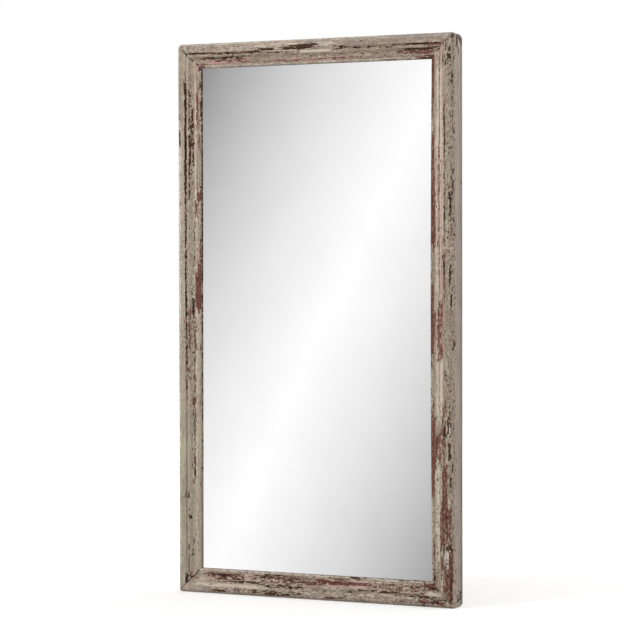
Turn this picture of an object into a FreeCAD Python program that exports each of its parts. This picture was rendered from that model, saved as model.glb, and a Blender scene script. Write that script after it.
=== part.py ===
import FreeCAD, Part
import itertools
import os
import re
import Sketcher

# A tall wall mirror in a mitred wooden moulding. The origin is the centre of the wall plane behind it,
# +X is to the right of someone looking into the glass, -Y is the front and +Z is up. Millimetres.

SIZES = {
    # Whole frame
    "overall_height": 1220,
    "overall_width": 670,
    "moulding_width": 54.5,
    "moulding_depth": 47,
    # Moulding section, from the outer edge towards the glass
    "outer_round_radius": 10,
    "groove_width": 4.2,
    "groove_depth": 3.4,
    "groove_wall_run": 0.8,
    "fillet_width": 6,
    "fillet_drop": 1.2,
    "fillet_rise": 1,
    "quirk_width": 2,
    "quirk_depth": 2.9,
    "quirk_wall_run": 0.5,
    "cove_width": 8,
    "cove_drop": 4.2,
    "cove_sag": 1.6,
    "bead_width": 6.6,
    "bead_drop": 0.8,
    "bead_rise": 1.5,
    "bead_quirk_width": 1.4,
    "bead_quirk_depth": 1.3,
    "sight_bead_width": 6,
    "sight_bead_drop": 1.8,
    "sight_bead_rise": 1.3,
    "lip_edge_height": 4.3,
    "rebate_width": 9,
    # Loose tongues across the mitres
    "spline_length": 36,
    "spline_width": 24,
    "spline_thickness": 4,
    "spline_level": 18,
    "spline_inset": 23,
    "spline_clearance": 0.1,
    # Glass and what packs it
    "glass_thickness": 4,
    "glass_clearance": 1.5,
    "glass_arris": 0.6,
    "block_length": 30,
    "block_inset": 140,
    "strip_width": 12,
    "strip_clearance": 0.5,
    # Ship-lapped back boards
    "board_thickness": 9,
    "board_clearance": 1,
    "board_gap": 1,
    "board_recess": 0.3,
    "board_lap": 8,
    "board_lap_clearance": 0.2,
    "board_chamfer": 1.2,
    # Turn buttons and their screws
    "button_reach": 28,
    "button_width": 12,
    "button_thickness": 1.6,
    "button_edge_round": 0.4,
    "button_inset": 30,
    "button_clearance": 0.2,
    "button_screw_radius": 2,
    "button_screw_depth": 16,
    # What all screws share
    "pivot_clearance": 0.08,
    "screw_head_overhang": 2.2,
    "screw_head_height": 2.2,
    "screw_rim_height": 0.5,
    "screw_tip_length": 4,
    "screw_slot_width": 0.9,
    "screw_slot_depth": 0.9,
    "pilot_clearance": 0.05,
    "pilot_spare_depth": 1.5,
    # Hanging straps, their rings and screws
    "hanger_drop": 260,
    "hanger_inset": 22.5,
    "strap_width": 12,
    "strap_length": 56,
    "strap_thickness": 1.2,
    "strap_screw_drop": 32,
    "strap_screw_pitch": 15,
    "strap_screw_radius": 1.9,
    "strap_screw_depth": 20,
    "strap_hole_clearance": 0.1,
    "eye_wall": 1.3,
    "eye_clearance": 0.2,
    "ring_wire_radius": 1.5,
    "ring_inner_width": 20,
    "ring_inner_height": 21,
    "ring_corner_radius": 4,
    # Wall bumpers
    "bumper_height": 6.5,
    "bumper_radius": 10,
    "bumper_top_radius": 8,
    "bumper_inset": 22.5,
    "bumper_drop": 70,
    # Every cut runs this far past the wood
    "cut_overrun": 5,
}

# Where the buttons stand, as shares of the frame's width and height from its centre.
RAIL_BUTTON_SHARES = {"left": -0.3, "centre": 0, "right": 0.3}
STILE_BUTTON_SHARES = {"upper": 0.165, "lower": -0.165}

doc = FreeCAD.newDocument("WallMirror")
sheet = doc.addObject("Spreadsheet::Sheet", "Sizes")
for row, (alias, size) in enumerate(SIZES.items(), start=1):
    sheet.set(f"A{row}", alias)
    sheet.set(f"B{row}", str(size))
    sheet.setAlias(f"B{row}", alias)
doc.recompute()

SUBPARTS = []

# A sketch edge's points are numbered in this order, after the edge itself
POINTS = ("edge", "start", "end", "centre")


def in_cells(formula):
    """The formula with each alias written as a reference to its cell."""
    return re.sub(r"[a-z]\w*", lambda word: f"Sizes.{word[0]}" if word[0] in SIZES else word[0], formula)


def number(formula):
    """What a formula of aliases comes to, in millimetres."""
    return float(sheet.evalExpression(formula))


def bind(thing, prop, formula):
    """Ties a property to a formula of cells."""
    thing.setExpression(prop, in_cells(formula))


# Formulas that more than one piece uses

BACK = "-bumper_height"
GROOVE_START = ("(moulding_width - groove_width - fillet_width - quirk_width - cove_width - bead_width"
                " - bead_quirk_width - sight_bead_width)")
FILLET_START = f"({GROOVE_START} + groove_width)"
FILLET_END = f"({FILLET_START} + fillet_width)"
COVE_START = f"({FILLET_END} + quirk_width)"
BEAD_START = f"({COVE_START} + cove_width)"
BEAD_END = f"({BEAD_START} + bead_width)"
SIGHT_BEAD_START = f"({BEAD_END} + bead_quirk_width)"
FILLET_FACE = "(moulding_depth - fillet_drop)"
QUIRK_FACE = "(moulding_depth - quirk_depth)"
COVE_END_FACE = f"({QUIRK_FACE} - cove_drop)"
BEAD_END_FACE = f"({COVE_END_FACE} - bead_drop)"
LIP_FRONT = f"({BEAD_END_FACE} - sight_bead_drop)"
LIP_BACK = f"({LIP_FRONT} - lip_edge_height)"
REBATE_WALL = "(moulding_width - rebate_width)"
OUTER_ROUND = f"min(outer_round_radius; {GROOVE_START})"
OPENING_WIDTH = f"(overall_width - 2 * {REBATE_WALL})"
OPENING_HEIGHT = f"(overall_height - 2 * {REBATE_WALL})"
GLASS_BACK = f"({LIP_BACK} - glass_thickness)"
BOARD_FRONT = "(board_recess + board_thickness)"
STRIP_DEPTH = f"({GLASS_BACK} - {BOARD_FRONT})"
EYE_BORE = "(ring_wire_radius + eye_clearance)"
EYE_RADIUS = f"({EYE_BORE} + eye_wall)"
HANGER_X = "(overall_width / 2 - hanger_inset)"
HANGER_Z = "(overall_height / 2 - hanger_drop)"
STRAP_SCREW_DROPS = {"upper": "strap_screw_drop", "lower": "(strap_screw_drop + strap_screw_pitch)"}


# Sketch and body helpers

def new_body(label):
    """An empty body that is one sub-part."""
    body = doc.addObject("PartDesign::Body", label)
    body.Label = label
    return body


def finish(subpart):
    """Counts an object as a sub-part of the mirror."""
    SUBPARTS.append(subpart)
    return subpart


def place(subpart, x, y, z, rotation=FreeCAD.Rotation()):
    """Puts a sub-part at formulas of cells."""
    subpart.Placement = FreeCAD.Placement(FreeCAD.Vector(), rotation)
    for axis, formula in zip("xyz", (x, y, z)):
        bind(subpart, f"Placement.Base.{axis}", formula)


def about_y(degrees):
    """A turn in the plane of the glass: +90 takes +X to -Z."""
    return FreeCAD.Rotation(FreeCAD.Vector(0, 1, 0), degrees)


def new_sketch(body, plane, level=None):
    """A sketch on one of the body's origin planes, or at a level along that plane's normal."""
    sketch = body.newObject("Sketcher::SketchObject", f"{body.Name}_sketch")
    support = next(datum for datum in body.Origin.OriginFeatures if datum.Role == plane)
    sketch.AttachmentSupport = [(support, "")]
    sketch.MapMode = "FlatFace"
    if level:
        bind(sketch, "AttachmentOffset.Base.z", level)
    return sketch


def fix(sketch, kind, geometry, point, formula):
    """Holds one coordinate of a sketch point, kind DistanceX or DistanceY, at a formula."""
    origin = (-1, POINTS.index("start"))
    value = number(formula)
    if value == 0:
        axis = -2 if kind == "DistanceX" else -1
        sketch.addConstraint(Sketcher.Constraint("PointOnObject", geometry, point, axis))
        return
    ends = (*origin, geometry, point) if value > 0 else (geometry, point, *origin)
    signed = formula if value > 0 else f"-({formula})"
    index = sketch.addConstraint(Sketcher.Constraint(kind, *ends, abs(value)))
    bind(sketch, f"Constraints[{index}]", signed)


def outline(sketch, corners):
    """A closed outline through corners (x, y) or (x, y, rise) in formulas.

    A rise bows the edge to the next corner into an arc, to the left of the way it runs.
    """
    edges = []
    for this, following in zip(corners, corners[1:] + corners[:1]):
        start = FreeCAD.Vector(number(this[0]), number(this[1]), 0)
        end = FreeCAD.Vector(number(following[0]), number(following[1]), 0)
        if len(this) == 2:
            edges.append(sketch.addGeometry(Part.LineSegment(start, end)))
            continue
        run = end - start
        left = FreeCAD.Vector(-run.y, run.x, 0).normalize()
        top = (start + end) / 2 + left * number(this[2])
        edges.append(sketch.addGeometry(Part.Arc(start, top, end)))
    ends = [near_ends(sketch, edge, corner) for edge, corner in zip(edges, corners)]
    for index, corner in enumerate(corners):
        edge, (first, _) = edges[index], ends[index]
        previous, (_, last) = edges[index - 1], ends[index - 1]
        sketch.addConstraint(Sketcher.Constraint("Coincident", previous, last, edge, first))
        fix(sketch, "DistanceX", edge, first, corner[0])
        fix(sketch, "DistanceY", edge, first, corner[1])
    for index, corner in enumerate(corners):
        if len(corner) == 3:
            fix_arc_centre(sketch, edges[index], corner, corners[(index + 1) % len(corners)])


def near_ends(sketch, edge, corner):
    """The edge's end points, first the one at this corner: an arc may be stored the other way round."""
    target = FreeCAD.Vector(number(corner[0]), number(corner[1]), 0)
    ends = (POINTS.index("start"), POINTS.index("end"))
    return sorted(ends, key=lambda end: sketch.getPoint(edge, end).distanceToPoint(target))


def fix_arc_centre(sketch, edge, corner, following):
    """Holds an arc's centre along the line that halves its chord."""
    run = f"(({following[0]}) - ({corner[0]}))"
    climb = f"(({following[1]}) - ({corner[1]}))"
    rise = f"({corner[2]})"
    chord = f"sqrt({run}^2 + {climb}^2)"
    back = f"({rise} / 2 - ({run}^2 + {climb}^2) / (8 * {rise}))"
    if abs(number(run)) >= abs(number(climb)):
        middle = f"(({corner[1]}) + ({following[1]})) / 2"
        fix(sketch, "DistanceY", edge, POINTS.index("centre"), f"{middle} + {run} / {chord} * {back}")
    else:
        middle = f"(({corner[0]}) + ({following[0]})) / 2"
        fix(sketch, "DistanceX", edge, POINTS.index("centre"), f"{middle} - {climb} / {chord} * {back}")


def circle(sketch, x, y, radius):
    """A circle whose centre and radius are formulas."""
    centre = FreeCAD.Vector(number(x), number(y), 0)
    edge = sketch.addGeometry(Part.Circle(centre, FreeCAD.Vector(0, 0, 1), number(radius)))
    fix(sketch, "DistanceX", edge, POINTS.index("centre"), x)
    fix(sketch, "DistanceY", edge, POINTS.index("centre"), y)
    index = sketch.addConstraint(Sketcher.Constraint("Radius", edge, number(radius)))
    bind(sketch, f"Constraints[{index}]", radius)


def rectangle(sketch, width, height):
    """A rectangle about the sketch's origin."""
    right, top = f"({width}) / 2", f"({height}) / 2"
    left, bottom = f"-({width}) / 2", f"-({height}) / 2"
    outline(sketch, [(left, bottom), (right, bottom), (right, top), (left, top)])


def pad(body, sketch, length, both_ways=False, reverse=False):
    """Raises a sketch into a solid."""
    feature = body.newObject("PartDesign::Pad", f"{body.Name}_pad")
    feature.Profile = sketch
    feature.SideType = "Symmetric" if both_ways else "One side"
    feature.Reversed = reverse
    bind(feature, "Length", length)
    doc.recompute()
    return feature


def cut(body, sketch, length=None):
    """Cuts a sketch both ways through the solid, or half of a length each way. It has to take wood away."""
    before = body.Shape.Volume
    feature = body.newObject("PartDesign::Pocket", f"{body.Name}_cut")
    feature.Profile = sketch
    feature.SideType = "Symmetric"
    feature.Type = "Length" if length else "ThroughAll"
    if length:
        bind(feature, "Length", length)
    doc.recompute()
    if body.Shape.Volume >= before:
        raise RuntimeError(f"{feature.Name} cuts nothing")
    return feature


def revolve(body, sketch):
    """Turns a sketch once round the body's Y axis."""
    feature = body.newObject("PartDesign::Revolution", f"{body.Name}_turned")
    feature.Profile = sketch
    feature.ReferenceAxis = (sketch, ["V_Axis"])
    feature.Angle = 360
    doc.recompute()
    return feature


def slab(label, width, height, thickness):
    """A flat piece centred on its own origin, its faces towards the front and the wall."""
    body = new_body(label)
    sketch = new_sketch(body, "XZ_Plane")
    rectangle(sketch, width, height)
    pad(body, sketch, thickness, both_ways=True)
    return finish(body)


# The moulding: x is the distance from the outer edge, y the height above the back, z runs along the length

MOULDING_SECTION = [
    ("0", "0"),
    ("0", f"moulding_depth - {OUTER_ROUND}", f"{OUTER_ROUND} * (1 - sqrt(1 / 2))"),
    (OUTER_ROUND, "moulding_depth"),
    (GROOVE_START, "moulding_depth"),
    (f"{GROOVE_START} + groove_wall_run", "moulding_depth - groove_depth"),
    (f"{FILLET_START} - groove_wall_run", "moulding_depth - groove_depth"),
    (FILLET_START, FILLET_FACE, "fillet_rise"),
    (FILLET_END, FILLET_FACE),
    (f"{FILLET_END} + quirk_wall_run", QUIRK_FACE),
    (COVE_START, QUIRK_FACE, "-cove_sag"),
    (BEAD_START, COVE_END_FACE, "bead_rise"),
    (BEAD_END, BEAD_END_FACE),
    (f"{BEAD_END} + bead_quirk_width / 2", f"{BEAD_END_FACE} - bead_quirk_depth"),
    (SIGHT_BEAD_START, BEAD_END_FACE, "sight_bead_rise"),
    ("moulding_width", LIP_FRONT),
    ("moulding_width", LIP_BACK),
    (REBATE_WALL, LIP_BACK),
    (REBATE_WALL, "0"),
]


def mitre_cuts(body, length):
    """Cuts both ends of a moulding at 45 degrees, longest at the outer edge."""
    past = "moulding_width + cut_overrun"
    sketch = new_sketch(body, "XZ_Plane")
    outline(sketch, [("-cut_overrun", "-cut_overrun"), (past, "-cut_overrun"), (past, past)])
    outline(sketch, [
        ("-cut_overrun", f"{length} + cut_overrun"),
        (past, f"{length} - ({past})"),
        (past, f"{length} + cut_overrun"),
    ])
    cut(body, sketch)


def spline_slots(body, length):
    """Slots for the loose tongues, half in this moulding and half in its neighbours."""
    along = "(spline_length / 2 + spline_clearance) * sqrt(1 / 2)"
    across = "(spline_width / 2 + spline_clearance) * sqrt(1 / 2)"
    wide, narrow = f"({along} + {across})", f"({along} - {across})"
    steps = [(f"-{wide}", f"-{narrow}"), (narrow, wide), (wide, narrow), (f"-{narrow}", f"-{wide}")]
    sketch = new_sketch(body, "XZ_Plane", level="-spline_level")
    outline(sketch, [(f"spline_inset + {x}", f"spline_inset + {y}") for x, y in steps])
    outline(sketch, [(f"spline_inset + {x}", f"{length} - spline_inset - {y}") for x, y in steps])
    cut(body, sketch, "spline_thickness + 2 * spline_clearance")


def pilot_holes(body, places, screw_radius, screw_depth):
    """Holes in the back for screws at places (distance from the outer edge, distance along)."""
    sketch = new_sketch(body, "XZ_Plane")
    for inset, along in places:
        circle(sketch, inset, along, f"{screw_radius} + pilot_clearance")
    cut(body, sketch, f"2 * ({screw_depth} + pilot_spare_depth)")


def moulding(label, length, x, z, turn, button_screws, hanger_screws=()):
    """One mitred side of the frame. Its front is turned to -Y, and then its length along its side."""
    body = new_body(label)
    section = new_sketch(body, "XY_Plane")
    outline(section, MOULDING_SECTION)
    pad(body, section, length)
    mitre_cuts(body, length)
    spline_slots(body, length)
    pilot_holes(body, button_screws, "button_screw_radius", "button_screw_depth")
    if hanger_screws:
        pilot_holes(body, hanger_screws, "strap_screw_radius", "strap_screw_depth")
    front_to_back = FreeCAD.Rotation(FreeCAD.Vector(1, 0, 0), 180)
    place(body, x, BACK, z, about_y(turn) * front_to_back)
    return finish(body)


def button_places(length, shares):
    """Where the button screws stand on a moulding, at shares of its length past the middle."""
    return [("button_inset", f"({length} / 2 + ({share}) * {length})") for share in shares.values()]


def frame():
    """Two stiles and two rails."""
    half_width, half_height = "overall_width / 2", "overall_height / 2"
    rail_places = button_places("overall_width", RAIL_BUTTON_SHARES)
    stile_places = button_places("overall_height", STILE_BUTTON_SHARES)
    from_top = [f"(hanger_drop + {drop})" for drop in STRAP_SCREW_DROPS.values()]
    left_places = [("hanger_inset", drop) for drop in from_top]
    right_places = [("hanger_inset", f"overall_height - {drop}") for drop in from_top]
    moulding("left_stile", "overall_height", f"-{half_width}", half_height, 0, stile_places, left_places)
    moulding("right_stile", "overall_height", half_width, f"-{half_height}", 180,
             stile_places, right_places)
    moulding("top_rail", "overall_width", half_width, half_height, 90, rail_places)
    moulding("bottom_rail", "overall_width", f"-{half_width}", f"-{half_height}", -90, rail_places)


def mitre_splines():
    """A loose tongue across each mitre, its length along the mitre line."""
    out_x, out_z = "(overall_width / 2 - spline_inset)", "(overall_height / 2 - spline_inset)"
    corners = {
        "top_left": ("-", "", 45),
        "top_right": ("", "", -45),
        "bottom_left": ("-", "-", -45),
        "bottom_right": ("", "-", 45),
    }
    for corner, (x_sign, z_sign, turn) in corners.items():
        spline = slab(f"mitre_spline_{corner}", "spline_length", "spline_width", "spline_thickness")
        place(spline, f"{x_sign}{out_x}", f"{BACK} - spline_level", f"{z_sign}{out_z}", about_y(turn))


# The glass and what packs it

def mirror_plate():
    """Silvered glass with its edges rubbed down, seated on the sight lip."""
    width = f"{OPENING_WIDTH} - 2 * glass_clearance"
    height = f"{OPENING_HEIGHT} - 2 * glass_clearance"
    plate = slab("mirror_plate", width, height, "glass_thickness")
    sheet_glass = plate.Tip
    arris = plate.newObject("PartDesign::Chamfer", "mirror_plate_arris")
    arris.Base = (sheet_glass, [f"Edge{n}" for n in range(1, len(sheet_glass.Shape.Edges) + 1)])
    bind(arris, "Size", "glass_arris")
    plate.Tip = arris
    place(plate, "0", f"{BACK} - {LIP_BACK} + glass_thickness / 2", "0")


def glass_blocks():
    """The two blocks that the lower edge of the glass stands on."""
    level = f"-{OPENING_HEIGHT} / 2 + glass_clearance / 2"
    for side, sign in {"left": "-", "right": ""}.items():
        block = slab(f"glass_block_{side}", "block_length", "glass_clearance", "glass_thickness")
        across = f"{sign}({OPENING_WIDTH} / 2 - block_inset)"
        place(block, across, f"{BACK} - {LIP_BACK} + glass_thickness / 2", level)


def packing_strips():
    """Battens between the glass and the back boards, round the wall of the rebate."""
    depth = f"{BACK} - {BOARD_FRONT} - {STRIP_DEPTH} / 2"
    across, up = f"({OPENING_WIDTH} - strip_width) / 2", f"({OPENING_HEIGHT} - strip_width) / 2"
    rail_length = f"{OPENING_WIDTH} - 2 * strip_clearance"
    stile_length = f"{OPENING_HEIGHT} - 2 * strip_width - 2 * strip_clearance"
    for side, sign in {"top": "", "bottom": "-"}.items():
        strip = slab(f"packing_strip_{side}", rail_length, "strip_width", STRIP_DEPTH)
        place(strip, "0", depth, f"{sign}{up}")
    for side, sign in {"left": "-", "right": ""}.items():
        strip = slab(f"packing_strip_{side}", "strip_width", stile_length, STRIP_DEPTH)
        place(strip, f"{sign}{across}", depth, "0")


# Back boards: x runs across the board, y from its inner face to its back

def board_outline(face, lapped_left, lapped_right):
    """A board's section. Its inner half is shifted to the right by the lap where a neighbour follows."""
    half = "(board_thickness - board_lap_clearance) / 2"
    inner_left = "board_lap" if lapped_left else "0"
    inner_right = f"{face} + board_lap" if lapped_right else face
    corners = [(inner_left, "0"), (inner_right, "0")]
    if lapped_right:
        corners += [(inner_right, half), (face, half)]
    corners += [
        (face, "board_thickness - board_chamfer"),
        (f"{face} - board_chamfer", "board_thickness"),
        ("board_chamfer", "board_thickness"),
        ("0", "board_thickness - board_chamfer"),
    ]
    if lapped_left:
        corners += [("0", f"board_thickness - {half}"), (inner_left, f"board_thickness - {half}")]
    return corners


def back_boards():
    """Three upright boards that fill the rebate from behind."""
    names = ["left", "centre", "right"]
    pitch = f"(({OPENING_WIDTH} - 2 * board_clearance + board_gap) / {len(names)})"
    face = f"({pitch} - board_gap)"
    for index, name in enumerate(names):
        body = new_body(f"back_board_{name}")
        section = new_sketch(body, "XY_Plane")
        outline(section, board_outline(face, index > 0, index < len(names) - 1))
        pad(body, section, f"{OPENING_HEIGHT} - 2 * board_clearance", both_ways=True)
        across = f"-{OPENING_WIDTH} / 2 + board_clearance + {index} * {pitch}"
        place(body, across, f"{BACK} - {BOARD_FRONT}", "0")
        finish(body)


# Screws: the axis is Y, the wood's surface is at zero and the head lies towards the wall

def screw(name, radius, depth, seat):
    """A round-head screw with a straight slot. Its head seats at a height above the wood."""
    body = new_body(name)
    head_radius = f"({radius} + screw_head_overhang)"
    dome = "(screw_head_height - screw_rim_height)"
    bow_share = "(sqrt(2) - 1) / 2"
    section = new_sketch(body, "XY_Plane")
    outline(section, [
        ("0", f"-{depth}"),
        (radius, f"screw_tip_length - {depth}"),
        (radius, seat),
        (head_radius, seat),
        (head_radius, f"{seat} + screw_rim_height", f"-sqrt({head_radius}^2 + {dome}^2) * {bow_share}"),
        ("0", f"{seat} + screw_head_height"),
    ])
    revolve(body, section)
    slot = new_sketch(body, "XZ_Plane", level=f"-({seat} + screw_head_height)")
    rectangle(slot, f"2 * ({head_radius} + cut_overrun)", "screw_slot_width")
    cut(body, slot, "2 * screw_slot_depth")
    return body


def group(label, members):
    """Several like solids under one name."""
    compound = doc.addObject("Part::Compound", label)
    compound.Label = label
    compound.Links = members
    return finish(compound)


# Turn buttons

def turn_button(label, x, z, turn):
    """A flat button with round ends, the screw hole at one end and the other end over the back boards."""
    body = new_body(label)
    end = "button_width / 2"
    tip = f"button_reach - {end}"
    sketch = new_sketch(body, "XZ_Plane")
    outline(sketch, [("0", f"-{end}"), (tip, f"-{end}", f"-{end}"), (tip, end), ("0", end, f"-{end}")])
    circle(sketch, "0", "0", "button_screw_radius + pivot_clearance")
    plate = pad(body, sketch, "button_thickness", reverse=True)
    outer_face = max(range(len(plate.Shape.Faces)), key=lambda n: plate.Shape.Faces[n].CenterOfMass.y)
    edge_round = body.newObject("PartDesign::Fillet", f"{label}_round")
    edge_round.Base = (plate, [f"Face{outer_face + 1}"])
    bind(edge_round, "Radius", "min(button_edge_round; button_thickness / 3)")
    body.Tip = edge_round
    place(body, x, f"{BACK} + button_clearance", z, about_y(turn))
    return finish(body)


def turn_buttons():
    """Three buttons on each rail and two on each stile, and the screws that they turn on."""
    rail_z = "(overall_height / 2 - button_inset)"
    stile_x = "(overall_width / 2 - button_inset)"
    places = {}
    for place_name, share in RAIL_BUTTON_SHARES.items():
        places[f"top_{place_name}"] = (f"({share}) * overall_width", rail_z, 90)
        places[f"bottom_{place_name}"] = (f"({share}) * overall_width", f"-{rail_z}", -90)
    for place_name, share in STILE_BUTTON_SHARES.items():
        places[f"left_{place_name}"] = (f"-{stile_x}", f"({share}) * overall_height", 0)
        places[f"right_{place_name}"] = (stile_x, f"({share}) * overall_height", 180)
    seat = "(button_thickness + 2 * button_clearance)"
    screws = []
    for place_name, (x, z, turn) in places.items():
        turn_button(f"turn_button_{place_name}", x, z, turn)
        pivot = screw(f"button_screw_{place_name}", "button_screw_radius", "button_screw_depth", seat)
        place(pivot, x, BACK, z, about_y(turn))
        screws.append(pivot)
    group("button_screws", screws)


# Hanging straps: the wood is at y zero, the eye's axis is X at z zero and the strap runs down from it

def hanger_strap(label, x):
    """A strap with a round lower end, two screw holes and a rolled eye at its top."""
    body = new_body(label)
    side = "strap_width / 2"
    end = f"-(strap_length - {side})"
    flat = new_sketch(body, "XZ_Plane")
    outline(flat, [(f"-{side}", "0"), (f"-{side}", end, f"-{side}"), (side, end), (side, "0")])
    for drop in STRAP_SCREW_DROPS.values():
        circle(flat, "0", f"-{drop}", "strap_screw_radius + strap_hole_clearance")
    pad(body, flat, "strap_thickness", reverse=True)
    eye = new_sketch(body, "YZ_Plane")
    circle(eye, EYE_RADIUS, "0", EYE_RADIUS)
    circle(eye, EYE_RADIUS, "0", EYE_BORE)
    pad(body, eye, "strap_width", both_ways=True)
    place(body, x, BACK, HANGER_Z)
    return finish(body)


def hanger_ring(label, x):
    """A D-shaped wire ring that hangs from its straight side, which lies in the eye."""
    body = new_body(label)
    half = "(ring_inner_width / 2 + ring_wire_radius)"
    side = f"(ring_inner_height + 2 * ring_wire_radius - {half})"
    quarter_bow_share = "(1 - sqrt(1 / 2))"
    corner = f"ring_corner_radius * {quarter_bow_share}"
    bow = f"{half} * {quarter_bow_share}"
    line = new_sketch(body, "XZ_Plane")
    outline(line, [
        ("0", "0"),
        (f"{half} - ring_corner_radius", "0", corner),
        (half, "-ring_corner_radius"),
        (half, f"-{side}", bow),
        ("0", f"-({side} + {half})", bow),
        (f"-{half}", f"-{side}"),
        (f"-{half}", "-ring_corner_radius", corner),
        (f"ring_corner_radius - {half}", "0"),
    ])
    wire = new_sketch(body, "YZ_Plane")
    circle(wire, "0", "0", "ring_wire_radius")
    doc.recompute()
    ring = body.newObject("PartDesign::AdditivePipe", f"{label}_wire")
    ring.Profile = wire
    ring.Spine = (line, [f"Edge{n}" for n in range(1, len(line.Shape.Edges) + 1)])
    doc.recompute()
    place(body, x, f"{BACK} + {EYE_RADIUS}", HANGER_Z)
    return finish(body)


def hangers():
    """A strap and a ring on each stile, and the screws of both."""
    screws = []
    for side, sign in {"left": "-", "right": ""}.items():
        x = f"{sign}{HANGER_X}"
        hanger_strap(f"hanger_strap_{side}", x)
        hanger_ring(f"hanger_ring_{side}", x)
        for level, drop in STRAP_SCREW_DROPS.items():
            name = f"hanger_screw_{side}_{level}"
            fixing = screw(name, "strap_screw_radius", "strap_screw_depth", "strap_thickness")
            place(fixing, x, BACK, f"{HANGER_Z} - {drop}")
            screws.append(fixing)
    group("hanger_screws", screws)


# Wall bumpers: the axis is Y, from the wood at zero to the wall

def wall_bumpers():
    """A tapered pad near each corner, which meets the wall."""
    across, up = "(overall_width / 2 - bumper_inset)", "(overall_height / 2 - bumper_drop)"
    corners = itertools.product({"top": "", "bottom": "-"}.items(), {"left": "-", "right": ""}.items())
    for (level, z_sign), (side, x_sign) in corners:
        body = new_body(f"wall_bumper_{level}_{side}")
        section = new_sketch(body, "XY_Plane")
        outline(section, [
            ("0", "0"),
            ("bumper_radius", "0"),
            ("bumper_radius", "bumper_height / 2"),
            ("bumper_top_radius", "bumper_height"),
            ("0", "bumper_height"),
        ])
        revolve(body, section)
        place(body, f"{x_sign}{across}", BACK, f"{z_sign}{up}")
        finish(body)


def check_and_write():
    """Stops on anything that failed, then writes one file for each sub-part."""
    doc.recompute()
    for thing in doc.Objects:
        if {"Invalid", "Error"} & set(thing.State):
            raise RuntimeError(f"{thing.Name} failed: {thing.State}")
    for subpart in SUBPARTS:
        if subpart.Shape.isNull() or not subpart.Shape.isValid() or not subpart.Shape.Solids:
            raise RuntimeError(f"{subpart.Label} has no sound solid")
    os.makedirs("parts", exist_ok=True)
    for subpart in SUBPARTS:
        subpart.Shape.exportStep(f"parts/{subpart.Label}.step")


frame()
mitre_splines()
mirror_plate()
glass_blocks()
packing_strips()
back_boards()
turn_buttons()
hangers()
wall_bumpers()
check_and_write()
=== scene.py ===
"""Looks of a tall wall mirror in a mitred wooden frame with several worn coats of paint."""
import math

import bmesh
import bpy
import numpy as np
from mathutils import Matrix, Vector


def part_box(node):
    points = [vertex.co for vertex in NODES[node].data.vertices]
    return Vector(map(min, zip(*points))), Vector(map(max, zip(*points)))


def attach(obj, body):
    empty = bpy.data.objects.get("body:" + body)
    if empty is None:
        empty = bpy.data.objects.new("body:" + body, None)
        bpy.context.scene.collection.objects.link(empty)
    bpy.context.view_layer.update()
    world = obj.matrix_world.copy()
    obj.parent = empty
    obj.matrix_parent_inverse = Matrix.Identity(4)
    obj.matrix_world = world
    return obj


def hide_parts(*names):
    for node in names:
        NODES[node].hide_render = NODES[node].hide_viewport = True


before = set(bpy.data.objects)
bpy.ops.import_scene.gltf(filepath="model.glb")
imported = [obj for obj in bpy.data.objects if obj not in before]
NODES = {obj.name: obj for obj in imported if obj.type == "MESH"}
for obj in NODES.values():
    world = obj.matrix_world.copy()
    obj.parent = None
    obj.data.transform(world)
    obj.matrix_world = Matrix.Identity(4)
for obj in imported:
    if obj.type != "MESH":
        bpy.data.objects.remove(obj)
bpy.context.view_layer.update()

MM = 0.001
THOUSAND = 1000

# The four members, each with the seed of its random draws
MEMBER_SEEDS = {"top_rail": 100, "bottom_rail": 200, "left_stile": 300, "right_stile": 400}

# The frame's own sizes, read from the CAD members
STILE_LOW, STILE_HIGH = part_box("left_stile")
HALF_WIDTH = -STILE_LOW.x
HALF_HEIGHT = STILE_HIGH.z
BACK_Y = STILE_HIGH.y
MOULDING_WIDTH = STILE_HIGH.x - STILE_LOW.x
MOULDING_DEPTH = STILE_HIGH.y - STILE_LOW.y

# The moulding's section, from its outer edge towards the glass
OUTER_ROUND_RADIUS = 10 * MM
GROOVE_WIDTH = 4.2 * MM
GROOVE_DEPTH = 3.4 * MM
GROOVE_WALL_RUN = 0.8 * MM
FILLET_WIDTH = 6 * MM
FILLET_DROP = 1.2 * MM
FILLET_RISE = 1 * MM
QUIRK_WIDTH = 2 * MM
QUIRK_DEPTH = 2.9 * MM
QUIRK_WALL_RUN = 0.5 * MM
COVE_WIDTH = 8 * MM
COVE_DROP = 4.2 * MM
COVE_SAG = 1.6 * MM
BEAD_WIDTH = 6.6 * MM
BEAD_DROP = 0.8 * MM
BEAD_RISE = 1.5 * MM
BEAD_QUIRK_WIDTH = 1.4 * MM
BEAD_QUIRK_DEPTH = 1.3 * MM
SIGHT_BEAD_WIDTH = 6 * MM
SIGHT_BEAD_DROP = 1.8 * MM
SIGHT_BEAD_RISE = 1.3 * MM
LIP_EDGE_HEIGHT = 4.3 * MM
REBATE_WIDTH = 9 * MM

# Spacing of the mesh round the section, by band, and along the members
BAND_STEPS = {
    "side": 1.7 * MM, "round": 0.9 * MM, "band": 0.9 * MM, "groove": 0.65 * MM, "fillet": 0.75 * MM,
    "quirk": 0.65 * MM, "cove": 0.8 * MM, "bead": 0.75 * MM, "sight": 0.75 * MM, "lip": 1.4 * MM,
    "rebate": 5 * MM, "back": 5 * MM,
}
ROW_STEP = 1.85 * MM
END_ROWS = (0, 0.3 * MM, 0.7 * MM, 1.2 * MM)

# How far each coat's loss lowers the surface, and the value of its field from which it is that deep
LOSSES = {"pink": (0.12 * MM, 0.6), "red": (0.25 * MM, 0.6), "bare": (0.6 * MM, 0.65)}
LOSS_START_SHARE = 0.4

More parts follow.
